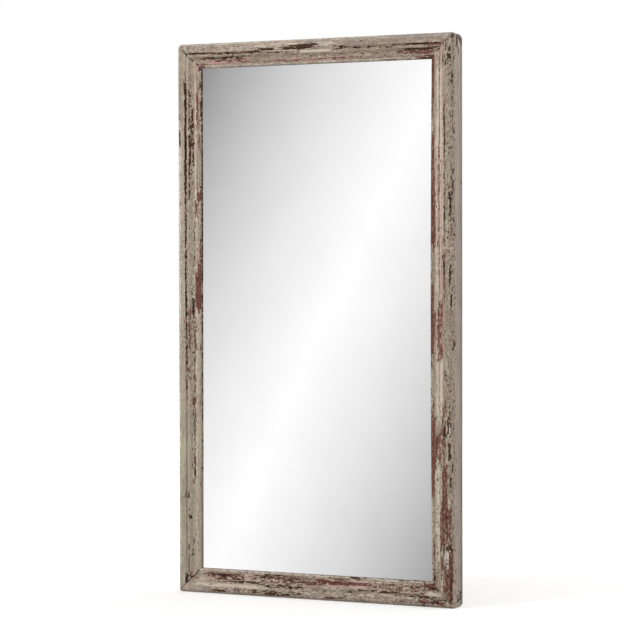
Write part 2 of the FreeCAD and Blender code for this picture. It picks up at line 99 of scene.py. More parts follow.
# How uneven the surface is, and from which to which value of its noise that grows
UNEVEN_DEPTH = 0.3 * MM
UNEVEN_RANGE = (-0.2, 1.6)

# Worn arrises at the mitres: how far they reach from the joint, how long their breaks are and at which
# values of their noise, how much is worn at least, and from which depth they show dark wood and how much
MITRE_REACH = 1.5 * MM
MITRE_BREAK = 7 * MM
MITRE_BREAK_RANGE = (-0.9, 0.5)
MITRE_LEAST_SHARE = 0.35
MITRE_DARK_DEPTH = 0.35 * MM
MITRE_DARK_SHARE = 1.1
MITRE_SEED = 46

# By corner: how far the mitre's arrises are worn back, from where to where across the moulding, and the
# radius to which the corner is worn at the back and at the front
CORNERS = {
    ("top", "left"): (1.5 * MM, (11 * MM, 38 * MM), (10 * MM, 10 * MM)),
    ("top", "right"): (0.7 * MM, (5 * MM, 36 * MM), (14 * MM, 5 * MM)),
    ("bottom", "left"): (1.4 * MM, (4 * MM, 50 * MM), (5 * MM, 5 * MM)),
    ("bottom", "right"): (0.6 * MM, (8 * MM, 50 * MM), (9 * MM, 4 * MM)),
}
LEAST_REACH = 0.001 * MM

# Worn places by member and coat, some also painted light: pale rows partly painted highlights, some stain
# rows
# painted shade. In thousandths: start and end along the member from its left or top end, then the near and
# far border across it, from -1000 at the back of the outer side through 0 at the rounded edge to 1000 at
# the glass, and how much of the place is worn
WEAR_SHARES = {
    ("top_rail", "bare"): [
        (47, 130, 375, 435, 640), (125, 310, 415, 475, 680), (190, 330, 470, 515, 550),
        (330, 440, 470, 520, 620), (100, 250, 580, 655, 850), (312, 366, 315, 385, 1600),
        (364, 410, 320, 370, 620), (395, 450, 315, 390, 1000), (436, 508, 220, 385, 1250),
        (588, 618, 340, 470, 800), (565, 620, 470, 520, 600), (618, 720, 420, 475, 700),
        (650, 705, 175, 215, 550), (720, 800, 430, 500, 600), (775, 950, 382, 436, 800),
        (825, 945, 560, 635, 950), (750, 930, 950, 1000, 750), (880, 940, 930, 1000, 1100),
        (984, 1000, -1000, -150, 1500),
    ],
    ("top_rail", "red"): [
        (47, 130, 370, 440, 900), (125, 310, 405, 480, 950), (830, 950, 370, 440, 800),
        (125, 255, 655, 800, 620), (45, 100, 800, 1000, 700), (190, 355, 785, 835, 620),
        (355, 620, 785, 835, 800), (620, 700, 775, 825, 700), (800, 925, 630, 760, 660),
        (860, 930, 630, 800, 640), (865, 945, 850, 1000, 720), (390, 530, 190, 400, 550),
        (580, 625, 320, 500, 750), (915, 960, 340, 560, 950), (935, 965, 500, 820, 800),
    ],
    ("top_rail", "pink"): [
        (870, 925, 660, 880, 750), (110, 270, 620, 860, 720), (330, 640, 720, 880, 550),
        (50, 115, 780, 1000, 700), (330, 420, 80, 300, 500),
    ],
    # The row along the outer rounded edge: partly painted highlight, partly paler paint rubbed through
    ("top_rail", "pale"): [
        (470, 595, 455, 570, 1100), (372, 440, 385, 440, 900), (305, 350, 180, 290, 700),
        (335, 440, 80, 250, 550), (505, 585, 150, 420, 600), (555, 572, 780, 880, 1000),
        (925, 945, 720, 860, 850), (935, 960, 500, 720, 700), (20, 750, -120, 90, 600),
        (100, 800, 900, 960, 450),
    ],
    ("top_rail", "stain_and_shade"): [
        (50, 1000, 400, 880, 600), (550, 1000, 120, 420, 550), (620, 800, 360, 720, 650),
        (180, 720, 770, 840, 800),
    ],
    ("left_stile", "bare"): [
        (46, 76, 345, 410, 620), (70, 152, 325, 420, 900), (122, 262, 350, 422, 900),
        (246, 300, 340, 410, 620), (290, 390, 345, 415, 500), (380, 505, 355, 425, 600),
        (505, 560, 385, 430, 700), (85, 103, 520, 600, 950), (103, 275, 530, 585, 540),
        (168, 224, 550, 610, 1100), (172, 214, 640, 705, 1000), (222, 280, 520, 570, 700),
        (107, 142, 620, 700, 850), (140, 170, 580, 680, 600), (311, 402, 690, 770, 450),
        (468, 500, 645, 718, 1300), (662, 722, 690, 775, 450), (738, 788, 680, 755, 550),
        (162, 178, 80, 155, 1500), (30, 50, 930, 1000, 1800), (60, 142, 965, 1000, 700),
        (552, 564, 960, 1000, 1100), (813, 831, 260, 550, 450), (855, 864, 500, 620, 800),
        (904, 914, 660, 700, 1000), (910, 920, 470, 520, 1000), (920, 934, 620, 660, 1000),
        (932, 978, 460, 515, 750), (964, 982, 330, 430, 1100),
    ],
    ("left_stile", "red"): [
        (230, 505, 350, 420, 550), (82, 142, 815, 910, 850), (155, 200, 900, 980, 620),
        (138, 200, 600, 720, 480), (70, 258, 330, 435, 720), (258, 286, 840, 1000, 900),
        (284, 307, 740, 865, 800), (355, 485, 940, 1000, 950), (397, 485, 860, 1000, 1200),
        (420, 485, 770, 1000, 1150), (480, 565, 480, 590, 680), (545, 605, 375, 520, 680),
        (605, 660, 380, 470, 520), (505, 560, 690, 810, 580), (563, 594, 680, 780, 550),
        (594, 662, 670, 785, 740), (636, 664, 640, 790, 750), (662, 722, 690, 785, 520),
        (738, 762, 670, 785, 800), (772, 788, 680, 770, 600), (932, 978, 470, 520, 800),
        (960, 985, 450, 850, 500),
    ],
    ("left_stile", "pink"): [
        (62, 285, 730, 820, 850), (474, 508, 740, 870, 850), (240, 330, 250, 360, 500),
        (360, 420, 840, 940, 550), (955, 985, 400, 880, 620), (32, 50, 720, 880, 950),
    ],
    # Bead crest and outer rounded edge rows: partly painted highlight, partly paler paint rubbed through
    ("left_stile", "pale"): [
        (62, 285, 765, 830, 660), (285, 960, 800, 875, 600), (140, 500, -120, 170, 700),
        (480, 780, -120, 160, 500), (780, 960, -120, 150, 620),
    ],
    ("left_stile", "stain_and_shade"): [
        (50, 700, 400, 1000, 300), (0, 150, 0, 330, 700), (500, 900, 370, 480, 600),
    ],
    ("right_stile", "bare"): [
        (38, 53, 335, 460, 620), (139, 215, 345, 425, 420), (290, 350, 345, 420, 450),
        (393, 416, 365, 430, 750), (678, 700, 345, 410, 800), (0, 14, -1000, -500, 1500),
        (0, 10, -650, -80, 1500), (7, 23, -360, -120, 1200), (11, 21, -1000, -860, 1200),
        (6, 12, 30, 95, 1300), (24, 34, 140, 215, 1300), (38, 48, 120, 250, 1400), (44, 49, 20, 60, 1100),
        (26, 30, 325, 365, 1200), (47, 54, 300, 350, 1100), (29, 41, -480, -360, 800),
        (55, 59, 120, 165, 1200), (61, 67, 60, 100, 1200), (63, 68, -30, 10, 1100),
        (68, 72, 150, 200, 1200), (68, 75, 35, 75, 1200), (82, 88, 65, 105, 1100),
        (163, 170, 10, 50, 1100), (196, 206, 100, 210, 800), (237, 243, 10, 50, 1100),
        (250, 275, 20, 80, 900), (287, 322, 100, 180, 1100), (345, 350, -20, 30, 1100),
        (405, 431, 110, 170, 950), (450, 476, 80, 130, 1000), (536, 544, -20, 30, 1100),
        (583, 600, 290, 390, 750), (648, 684, 125, 185, 1100), (672, 697, 205, 260, 1000),
        (715, 738, 120, 210, 1200), (747, 753, 170, 210, 1200), (752, 758, 40, 80, 1200),
        (772, 800, 100, 170, 850), (884, 902, 65, 310, 900), (900, 985, 75, 175, 650),
        (946, 954, 810, 900, 1100), (968, 995, -800, -150, 550),
    ],
    ("right_stile", "red"): [
        (0, 140, 930, 1000, 1300), (150, 240, 940, 1000, 700), (240, 370, 930, 1000, 1200),
        (370, 440, 960, 1000, 800), (440, 500, 930, 1000, 1200), (500, 585, 930, 1000, 1100),
        (585, 672, 930, 1000, 420), (672, 810, 930, 1000, 1100), (30, 118, 875, 1000, 1250),
        (175, 310, 860, 1000, 850), (231, 345, 790, 1000, 800), (290, 370, 790, 970, 1050),
        (440, 560, 870, 1000, 1250), (494, 530, 780, 1000, 1100), (190, 365, 650, 715, 550),
        (672, 760, 790, 1000, 1200), (640, 672, 860, 1000, 500), (700, 745, 700, 1000, 1100),
        (745, 803, 840, 1000, 1200), (880, 975, 830, 900, 600), (30, 460, 585, 635, 900),
        (463, 570, 450, 710, 650), (690, 752, 480, 720, 680), (120, 230, 350, 430, 800),
        (230, 460, 345, 430, 620), (640, 752, 330, 490, 600), (745, 860, 260, 490, 950),
        (829, 900, 450, 590, 1000), (820, 900, 100, 330, 600), (820, 900, 360, 450, 900),
        (902, 985, 60, 205, 1300), (900, 918, 400, 455, 1100), (915, 950, 470, 560, 1000),
        (925, 985, 200, 470, 720),
    ],
    ("right_stile", "pink"): [
        (10, 55, 420, 660, 750), (190, 345, 475, 525, 1100), (190, 345, 610, 705, 1000),
        (17, 300, 430, 620, 700), (230, 352, 440, 700, 850), (300, 570, 430, 660, 650),
        (560, 660, 420, 620, 500), (180, 345, 700, 860, 500),
    ],
    # Bead crest and fillet arris rows: partly painted highlight, partly paler paint rubbed through
    ("right_stile", "pale"): [
        (55, 220, 690, 765, 1250), (220, 460, 715, 770, 1100), (465, 497, 680, 770, 900),
        (526, 565, 680, 760, 900), (570, 690, 660, 770, 800), (55, 240, 525, 575, 1150),
        (240, 420, 540, 580, 750), (55, 190, 465, 510, 950), (150, 350, 425, 470, 1150),
        (570, 650, 440, 580, 750), (752, 930, 620, 800, 600), (900, 916, 215, 400, 1300),
        (918, 930, 215, 330, 800), (9, 22, -720, -390, 1400), (715, 738, 70, 120, 900),
        (684, 694, 150, 215, 1000), (965, 985, -200, -40, 600),
    ],
    # The rows from 785 to 930 across, on the inner bead, and the row by the lower mitre are painted shade;
    # the others are stain
    ("right_stile", "stain_and_shade"): [
        (0, 1000, 50, 450, 500), (0, 1000, 785, 930, 900), (50, 330, 790, 880, 1300),
        (0, 1000, 580, 650, 800), (900, 990, 560, 750, 900),
    ],
    ("bottom_rail", "bare"): [
        (106, 215, 740, 830, 600), (125, 200, 715, 785, 900), (159, 310, 505, 575, 850),
        (130, 240, 590, 710, 450), (215, 470, 80, 270, 360), (310, 470, 380, 560, 480),
        (300, 470, 620, 830, 480), (265, 375, 800, 900, 650), (300, 365, 700, 800, 750),
        (648, 712, 485, 530, 950), (743, 822, 455, 530, 900), (620, 685, 380, 460, 600),
        (800, 880, 360, 430, 600), (870, 930, 320, 420, 650), (560, 920, 50, 260, 300),
        (124, 180, 80, 180, 950), (310, 430, 60, 180, 700), (528, 574, 80, 160, 800),
        (920, 970, 150, 370, 600), (880, 960, 660, 740, 550), (893, 933, 700, 920, 400),
        (800, 900, 960, 1000, 650), (620, 680, 920, 1000, 700),
    ],
    ("bottom_rail", "red"): [
        (0, 60, 500, 760, 950), (100, 240, 660, 860, 720), (140, 250, 580, 700, 600),
        (310, 480, 560, 900, 550), (215, 470, 150, 300, 420), (450, 540, 580, 740, 800),
        (500, 570, 670, 850, 850), (545, 700, 660, 790, 1100), (560, 640, 780, 920, 700),
        (700, 900, 450, 850, 400), (885, 975, 80, 400, 600), (890, 945, 640, 950, 900),
    ],
    ("bottom_rail", "pink"): [
        (160, 300, 330, 480, 550), (100, 500, 500, 880, 500), (500, 730, 550, 860, 600),
    ],
    ("bottom_rail", "pale"): [
        (60, 315, 300, 470, 900), (440, 600, 420, 480, 650), (740, 820, 310, 430, 700),
        (620, 960, 280, 360, 500), (900, 970, 430, 600, 800), (50, 960, 900, 1000, 450),
        (180, 900, 100, 900, 300),
    ],
    ("bottom_rail", "stain_and_shade"): [
        (100, 1000, 0, 900, 750),
    ],
}

# Scattered chips by member: their coat, how many, and their place as above
SCATTER_SHARES = {
    "top_rail": [
        ("bare", 50, 20, 550, 0, 950), ("bare", 40, 550, 980, 360, 950), ("pale", 90, 20, 980, 0, 950),
    ],
    "left_stile": [
        ("bare", 46, 90, 300, 520, 750), ("bare", 50, 300, 800, 620, 760),
        ("bare", 40, 50, 620, 330, 470), ("red", 60, 50, 620, 330, 500), ("red", 60, 480, 620, 370, 580),
        ("red", 110, 500, 800, 660, 800), ("bare", 40, 500, 790, 670, 780),
        ("pale", 90, 480, 800, 620, 840), ("bare", 40, 20, 980, 0, 980), ("pale", 90, 80, 800, 500, 800),
    ],
    "right_stile": [
        ("bare", 24, 0, 100, -100, 340), ("bare", 80, 100, 600, -50, 260),
        ("bare", 64, 600, 980, -150, 360), ("bare", 40, 100, 980, 360, 1000),
        ("bare", 14, 20, 980, -900, -150), ("bare", 50, 300, 980, -120, 160),
        ("pale", 60, 600, 900, 50, 980), ("pale", 34, 900, 980, 50, 600),
    ],
    "bottom_rail": [
        ("bare", 120, 100, 980, 20, 950), ("pale", 260, 100, 980, 0, 950),
    ],
}

# The chips' sizes, how much more often they are small, their field in the middle and its fall to the rim
CHIP_LENGTHS = (2.5 * MM, 10 * MM)
CHIP_WIDTHS = (1.2 * MM, 3 * MM)
CHIP_BIAS = 1.7
CHIP_MIDDLE_SHARE = 1.1
CHIP_FALL_SHARE = 0.6

# How broad the ragged border of a worn place is, along and across the member
BORDER_ALONG = 14 * MM
BORDER_ACROSS = 1.6 * MM

# How long the ragged patches of the wear are along each member, how wide, and in how many layers
RAGGED_LENGTHS = {"top_rail": 11 * MM, "left_stile": 6.5 * MM, "right_stile": 9 * MM, "bottom_rail": 8 * MM}
RAGGED_WIDTH = 2.6 * MM
RAGGED_LAYERS = 4

# How much they fray a field everywhere, how much more where it shows wear, where in it the rim round bare
# wood begins and ends, and the limits of every field
FRAY_SHARE = 0.12
WORN_FRAY_SHARE = 0.3
WORN_FRAY_RANGE = (0.05, 0.35)
RIM_START_RANGE = (0.2, 0.4)
RIM_END_RANGE = (0.5, 0.6)
FIELD_LIMITS = (-1, 2)

# The coats, each with what sets the random draws of its ragged borders apart
COAT_SEEDS = {"stain_and_shade": 20, "pale": 25, "pink": 30, "red": 35, "bare": 40}

# The top coat at each member's start and end: how bright the outer band and the inner mouldings are, with
# dirt and painted shade, how strong the fine flecks, and how dark the painted shadow on the edge at the
# glass
COAT_SHARES = {
    "top_rail": {"outer": (0.88, 0.93), "inner": (0.9, 0.92), "grit": (1, 0.55), "lip": (0.62, 0.62)},
    "left_stile": {"outer": (1.02, 0.87), "inner": (0.97, 0.95), "grit": (0.9, 0.35), "lip": (0.85, 0.1)},
    "right_stile": {"outer": (0.88, 0.82), "inner": (1, 0.95), "grit": (0.85, 1), "lip": (0.6, 0.6)},
    "bottom_rail": {"outer": (0.97, 0.86), "inner": (0.98, 0.87), "grit": (0.6, 1.1), "lip": (0.66, 0.66)},
}

# The outer side's flecks, its painted shade towards and at the back, and where the inner mouldings begin
SIDE_GRIT_SHARE = 0.3
SIDE_SHADE_FALL_SHARE = 0.12
SIDE_BACK_SHADE_SHARE = 0.22
BACK_EDGE_SHADE_SHARES = (0.55, 0.85)
INNER_EDGE_SHARE = 0.4
SHADE_LIMITS = (0.3, 1.15)
GRIT_LIMITS = (0.1, 1.3)

# How well the paint covers the front, how much less at the outer side's back, and the slop on the back
FRONT_COVER_SHARE = 1.2
SIDE_COVER_FALL_SHARE = 0.4
SLOP_COVER_SHARE = 0.8
SLOP_WIDTH = 14 * MM

# Tint of the top coat by band, and what each member adds to it
BAND_TONE_SHARES = {"side": 0.85, "round": 0.62, "band": 0.4, "bead": 0.35, "cove": 0.4, "fillet": 0.35}
OTHER_TONE_SHARE = 0.45
MEMBER_TONE_SHARES = {"top_rail": 0.2, "left_stile": -0.05, "right_stile": -0.05, "bottom_rail": 0.2}

# How much of the grooves the paint fills where it is whole, and the wear over which that ends
FILL_SHARES = {"top_rail": 0.5, "left_stile": 0.55, "right_stile": 0.6, "bottom_rail": 0.55}
FILL_END_RANGE = (0.35, 0.6)

# How far the stiles bow and slant inwards at the glass, and how fast that grows across them
SIGHT_BOWS = {"left_stile": 1.2 * MM, "right_stile": 3 * MM}
SIGHT_SLANTS = {"left_stile": 2 * MM}
BOW_POWER = 2
SLANT_POWER = 8

# Noise over the members: its strength, how long and wide its patches are, and what sets its draws apart
WARP_NOISE = (1, 30 * MM, 6 * MM, 11)
SURFACE_NOISE = (1, 60 * MM, 9 * MM, 50)
TONE_NOISE = (0.22, 70 * MM, 12 * MM, 70)
DIRT_NOISE = (0.08, 50 * MM, 9 * MM, 80)
GRIT_NOISE = (0.25, 80 * MM, 16 * MM, 85)
COVER_NOISE = (0.25, 40 * MM, 8 * MM, 90)
WARP_ALONG = 5 * MM
WARP_ACROSS = 0.7 * MM

# How much finer and weaker each layer of noise is than the one before
LAYER_LENGTH_RATIO = 2.1
LAYER_WIDTH_RATIO = 1.9
LAYER_WEIGHT_SHARE = 0.6
LATTICE = 256


# Noise over the surface

def eased(value, low, high):
    """Zero below low, one above high, smooth between."""
    share = np.clip((value - low) / (high - low), 0, 1)
    return share * share * (3 - 2 * share)


def smooth_noise(u, v, seed):
    """Smooth noise from -1 to 1, with one random value at each whole step of u and v."""
    table = np.random.default_rng(seed).uniform(-1, 1, (LATTICE, LATTICE))
    column = np.floor(u).astype(int)
    row = np.floor(v).astype(int)
    u_share = eased(u - column, 0, 1)
    v_share = eased(v - row, 0, 1)
    left = column % LATTICE
    right = (column + 1) % LATTICE
    near_row = row % LATTICE
    far_row = (row + 1) % LATTICE
    near = table[left, near_row] * (1 - u_share) + table[right, near_row] * u_share
    far = table[left, far_row] * (1 - u_share) + table[right, far_row] * u_share
    return near * (1 - v_share) + far * v_share


def layered_noise(along, across, length, width, seed, layers=3):
    """Noise whose patches are about length by width, with finer layers that count less."""
    total = np.zeros(np.broadcast(along, across).shape)
    weight = 1.0
    for layer in range(layers):
        total += weight * smooth_noise(along / length, across / width, seed + layer)
        length /= LAYER_LENGTH_RATIO
        width /= LAYER_WIDTH_RATIO
        weight *= LAYER_WEIGHT_SHARE
    return total


def member_noise(along, kind, seed):
    """One kind of noise over a member."""
    strength, length, width, seed_step = kind
    return strength * layered_noise(along, SECTION.path, length, width, seed + seed_step)


# The moulding's section

def moulding_corners():
    """The section's corners after its outer back corner: band, inset, height above the back, bulge."""
    groove = MOULDING_WIDTH - (
        GROOVE_WIDTH + FILLET_WIDTH + QUIRK_WIDTH + COVE_WIDTH + BEAD_WIDTH
        + BEAD_QUIRK_WIDTH + SIGHT_BEAD_WIDTH
    )
    fillet = groove + GROOVE_WIDTH
    quirk = fillet + FILLET_WIDTH
    cove = quirk + QUIRK_WIDTH
    bead = cove + COVE_WIDTH
    bead_quirk = bead + BEAD_WIDTH
    sight = bead_quirk + BEAD_QUIRK_WIDTH
    face = MOULDING_DEPTH
    fillet_level = face - FILLET_DROP
    quirk_level = face - QUIRK_DEPTH
    bead_level = quirk_level - COVE_DROP
    sight_level = bead_level - BEAD_DROP
    edge_level = sight_level - SIGHT_BEAD_DROP
    round_bulge = OUTER_ROUND_RADIUS * (1 - math.sqrt(0.5))
    rebate = MOULDING_WIDTH - REBATE_WIDTH
    return [
        ("side", 0, face - OUTER_ROUND_RADIUS, 0),
        ("round", OUTER_ROUND_RADIUS, face, round_bulge),
        ("band", groove, face, 0),
        ("groove", groove + GROOVE_WALL_RUN, face - GROOVE_DEPTH, 0),
        ("groove", fillet - GROOVE_WALL_RUN, face - GROOVE_DEPTH, 0),
        ("groove", fillet, fillet_level, 0),
        ("fillet", quirk, fillet_level, FILLET_RISE),
        ("quirk", quirk + QUIRK_WALL_RUN, quirk_level, 0),
        ("quirk", cove, quirk_level, 0),
        ("cove", bead, bead_level, -COVE_SAG),
        ("bead", bead_quirk, sight_level, BEAD_RISE),
        ("quirk", bead_quirk + BEAD_QUIRK_WIDTH / 2, sight_level - BEAD_QUIRK_DEPTH, 0),
        ("quirk", sight, sight_level, 0),
        ("sight", MOULDING_WIDTH, edge_level, SIGHT_BEAD_RISE),
        ("lip", MOULDING_WIDTH, edge_level - LIP_EDGE_HEIGHT, 0),
        ("rebate", rebate, edge_level - LIP_EDGE_HEIGHT, 0),
        ("rebate", rebate, 0, 0),
        ("back", 0, 0, 0),
    ]


def bulged(start, end, bulge, count):
    """Points from just after start up to end on a circular arc that stands out by bulge to the left."""
    share = np.arange(1, count + 1) / count
    chord = end - start
    if bulge == 0:
        return start + share[:, None] * chord
    length = np.hypot(*chord)
    radius = (length ** 2 / 4 + bulge ** 2) / (2 * abs(bulge))
    half_angle = math.asin(length / 2 / radius)
    angle = (2 * share - 1) * half_angle
    forward = radius * np.sin(angle) + length / 2
    sideways = (radius * np.cos(angle) - radius * math.cos(half_angle)) * math.copysign(1, bulge)
    unit = chord / length
    normal = np.array([-unit[1], unit[0]])
    return start + forward[:, None] * unit + sideways[:, None] * normal


class Section:
    """The sampled section: where its points lie, which way they face and which band they belong to."""

    def __init__(self):
        points = []
        bands = []
        pen = np.array([0.0, 0.0])
        for band, inset, height, bulge in moulding_corners():
            end = np.array([inset, height])
            count = max(2, math.ceil(np.hypot(*(end - pen)) / BAND_STEPS[band]))
            points.append(bulged(pen, end, bulge, count))
            bands += [band] * count
            pen = end
        loop = np.vstack(points)
        self.inset, self.height = loop.T
        self.band = np.array(bands)
        step = np.roll(loop, -1, axis=0) - np.roll(loop, 1, axis=0)
        step /= np.hypot(*step.T)[:, None]
        self.facing = np.column_stack([-step[:, 1], step[:, 0]])
        lengths = np.hypot(*np.diff(np.vstack([[[0.0, 0.0]], loop]), axis=0).T)
        self.path = np.cumsum(lengths)
        on_side = self.height / (MOULDING_DEPTH - OUTER_ROUND_RADIUS) - 1
        self.place = np.where(self.band == "side", on_side, self.inset / MOULDING_WIDTH)
        self.shown = np.isin(self.band, ("rebate", "back"), invert=True)
        self.front = self.shown & (self.band != "lip")
        self.filled = self.height.copy()
        hollow = np.isin(self.band, ("groove", "quirk"))
        starts = np.flatnonzero(hollow & ~np.roll(hollow, 1))
        ends = np.flatnonzero(hollow & ~np.roll(hollow, -1))
        for first, last in zip(starts, ends):
            shoulders = [first - 1, last]
            inside = slice(first, last)
            level = np.interp(self.inset[inside], self.inset[shoulders], self.height[shoulders])
            self.filled[inside] = level

    def path_at(self, place):
        """Distance round the section of a place across the member."""
        return np.interp(place, self.place[self.front], self.path[self.front])


SECTION = Section()


# Where the paint is worn, with its painted shade and highlights

def shares(thousandths):
    """Thousandths as shares of one."""
    return [value / THOUSAND for value in thousandths]


def worn_place(along, path, length, place):
    """A field of 0 to a place's strength that crosses half of it at the place's border."""
    start, end, near, far, strength = shares(place)
    low = SECTION.path_at(near)
    high = SECTION.path_at(far)
    along_reach = min(BORDER_ALONG, (end - start) * length / 2)
    across_reach = min(BORDER_ACROSS, (high - low) / 2)
    in_along = np.minimum(along - start * length, end * length - along) / along_reach
    in_across = np.minimum(path - low, high - path) / across_reach
    return strength * np.clip(0.5 + 0.5 * np.minimum(in_along, in_across), 0, 1)


def chip_size(sizes, random):
    """A random size between two, the smaller ones more often."""
    least, most = sizes
    return least * (most / least) ** (random.random() ** CHIP_BIAS)


def scatter_chips(field, along, path, length, place, count, random):
    """Adds small oval chips to a field, each crossing one half at its rim."""
    start, end, near, far = shares(place)
    row_along = along.mean(axis=1)
    for _ in range(count):
        middle_along = random.uniform(start, end) * length
        middle_path = random.uniform(SECTION.path_at(near), SECTION.path_at(far))
        chip_length = chip_size(CHIP_LENGTHS, random)
        chip_width = chip_size(CHIP_WIDTHS, random)
        reach = [middle_along - MOULDING_WIDTH, middle_along + MOULDING_WIDTH]
        rows = slice(*np.searchsorted(row_along, reach))
        columns = np.abs(path - middle_path) < chip_width
        out_along = (along[rows][:, columns] - middle_along) / (chip_length / 2)
        out_across = (path[columns] - middle_path)[None, :] / (chip_width / 2)
        out = out_along ** 2 + out_across ** 2
        chip = np.clip(CHIP_MIDDLE_SHARE - CHIP_FALL_SHARE * out, 0, 1)
        block = field[rows]
        block[:, columns] = np.maximum(block[:, columns], chip)


def frayed(field, noise):
    """A field whose borders noise has made ragged."""
    return field + (WORN_FRAY_SHARE * noise * eased(field, *WORN_FRAY_RANGE) + FRAY_SHARE * noise)


def wear_fields(name, along, length, seed):
    """Every coat's loss over a member, each with its loss above one half, and the rim round bare wood."""
    path = SECTION.path
    random = np.random.default_rng(seed)
    warp = member_noise(along, WARP_NOISE, seed)
    bent_path = path + warp * WARP_ACROSS
    bent_along = along + warp * WARP_ALONG
    fields = {}
    for coat, seed_step in COAT_SEEDS.items():
        field = np.zeros(along.shape)
        for place in WEAR_SHARES[name, coat]:
            field = np.maximum(field, worn_place(bent_along, bent_path, length, place))
        for scatter_coat, count, *place in SCATTER_SHARES[name]:
            if scatter_coat == coat:
                scatter_chips(field, bent_along, path, length, place, count, random)
        ragged_seed = seed + seed_step
        noise = layered_noise(along, path, RAGGED_LENGTHS[name], RAGGED_WIDTH, ragged_seed, RAGGED_LAYERS)
        if coat == "bare":
            torn = frayed(field, noise)
            rim = eased(torn, *RIM_START_RANGE) - eased(torn, *RIM_END_RANGE)
            fields["rim"] = rim * SECTION.front
            # Painted shadow along the lip at the glass, laid into the bare-wood field
            painted_lip_shadow = coat_level(name, "lip", along / length) * (SECTION.band == "lip")
            field = np.maximum(field, painted_lip_shadow)
        fields[coat] = np.where(SECTION.shown, frayed(field, noise), 0)
    return fields


def coat_level(name, quality, share):
    """A quality of a member's top coat at a share of the way from its start to its end."""
    start, end = COAT_SHARES[name][quality]
    return start + (end - start) * share


def coat_dirt_and_shade(name, along, length, seed):
    """How bright the top coat is: 1 clean, less with dirt and with painted shade."""
    share = along / length
    is_inner = SECTION.place > INNER_EDGE_SHARE
    base = np.where(is_inner, coat_level(name, "inner", share), coat_level(name, "outer", share))
    # Painted shade: the outer side is darker towards its back, most at the back edge
    behind = np.maximum(-SECTION.place, 0)
    base = base * (1 - SIDE_SHADE_FALL_SHARE * behind - SIDE_BACK_SHADE_SHARE * eased(behind, *BACK_EDGE_SHADE_SHARES))
    return np.clip(base + member_noise(along, DIRT_NOISE, seed), *SHADE_LIMITS)


def coat_grit(name, along, length, seed):
    """How strong the fine flecks in the top coat are."""
    grit = coat_level(name, "grit", along / length) + member_noise(along, GRIT_NOISE, seed)
    return np.clip(grit, *GRIT_LIMITS) * np.where(SECTION.band == "side", SIDE_GRIT_SHARE, 1)


def coat_tone(name, along, seed):
    """Tint of the top coat: 0 greenish cream, one half grey-beige, 1 lilac grey."""
    base = np.array([BAND_TONE_SHARES.get(band, OTHER_TONE_SHARE) for band in SECTION.band])
    return np.clip(base + MEMBER_TONE_SHARES[name] + member_noise(along, TONE_NOISE, seed), 0, 1)


def paint_cover(along, seed):
    """About one where the wood was painted, falling to about zero on its back and in the rebate."""
    slop = np.where(SECTION.band == "back", 1 - SECTION.inset / SLOP_WIDTH, 0)
    painted = FRONT_COVER_SHARE + np.minimum(SECTION.place, 0) * SIDE_COVER_FALL_SHARE
    cover = np.where(SECTION.shown, painted, np.clip(slop, 0, 1) * SLOP_COVER_SHARE)
    return cover + member_noise(along, COVER_NOISE, seed)


# The frame's four members

def row_stations(length):
    """Distances along a member's outer edge, closer together at the mitres."""
    count = math.ceil((length - 2 * END_ROWS[-1]) / ROW_STEP)
    inner = np.linspace(END_ROWS[-1], length - END_ROWS[-1], count + 1)
    ends = np.array(END_ROWS[:-1])
    return np.concatenate([ends, inner, length - ends[::-1]])


def rounded_corners(x, z, forward):
    """Rounds the worn outer corners; forward runs from 0 at the back of the moulding to 1 at its front."""
    for (level, side), (_, _, (back, front)) in CORNERS.items():
        radius = back + (front - back) * forward
        up = 1 if level == "top" else -1
        right = 1 if side == "right" else -1
        from_x = x * right - (HALF_WIDTH - radius)
        from_z = z * up - (HALF_HEIGHT - radius)
        at_corner = (from_x > 0) & (from_z > 0)
        shrink = np.maximum(from_x, from_z) / np.maximum(np.hypot(from_x, from_z), LEAST_REACH)
        x = np.where(at_corner, (HALF_WIDTH - radius + from_x * shrink) * right, x)
        z = np.where(at_corner, (HALF_HEIGHT - radius + from_z * shrink) * up, z)
    return x, z


def mitre_depth(name, along, inset, length):
    """How far the arris at each end of a member is worn back."""
    place, kind = name.split("_")
    if kind == "rail":
        corners = [(place, "left"), (place, "right")]
    else:
        corners = [("top", place), ("bottom", place)]
    depth = np.zeros(along.shape)
    for seed, (corner, distance) in enumerate(zip(corners, (along - inset, length - inset - along))):
        opening, (first, last), _ = CORNERS[corner]
        noise = smooth_noise(inset / MITRE_BREAK, np.zeros(inset.shape), MITRE_SEED + seed)
        broken = MITRE_LEAST_SHARE + (1 - MITRE_LEAST_SHARE) * eased(noise, *MITRE_BREAK_RANGE)
        broken = broken * eased(inset, first - MITRE_REACH, first + MITRE_REACH)
        broken = broken * (1 - eased(inset, last - MITRE_REACH, last + MITRE_REACH))
        depth += opening * broken * np.clip(1 - distance / MITRE_REACH, 0, 1)
    return depth


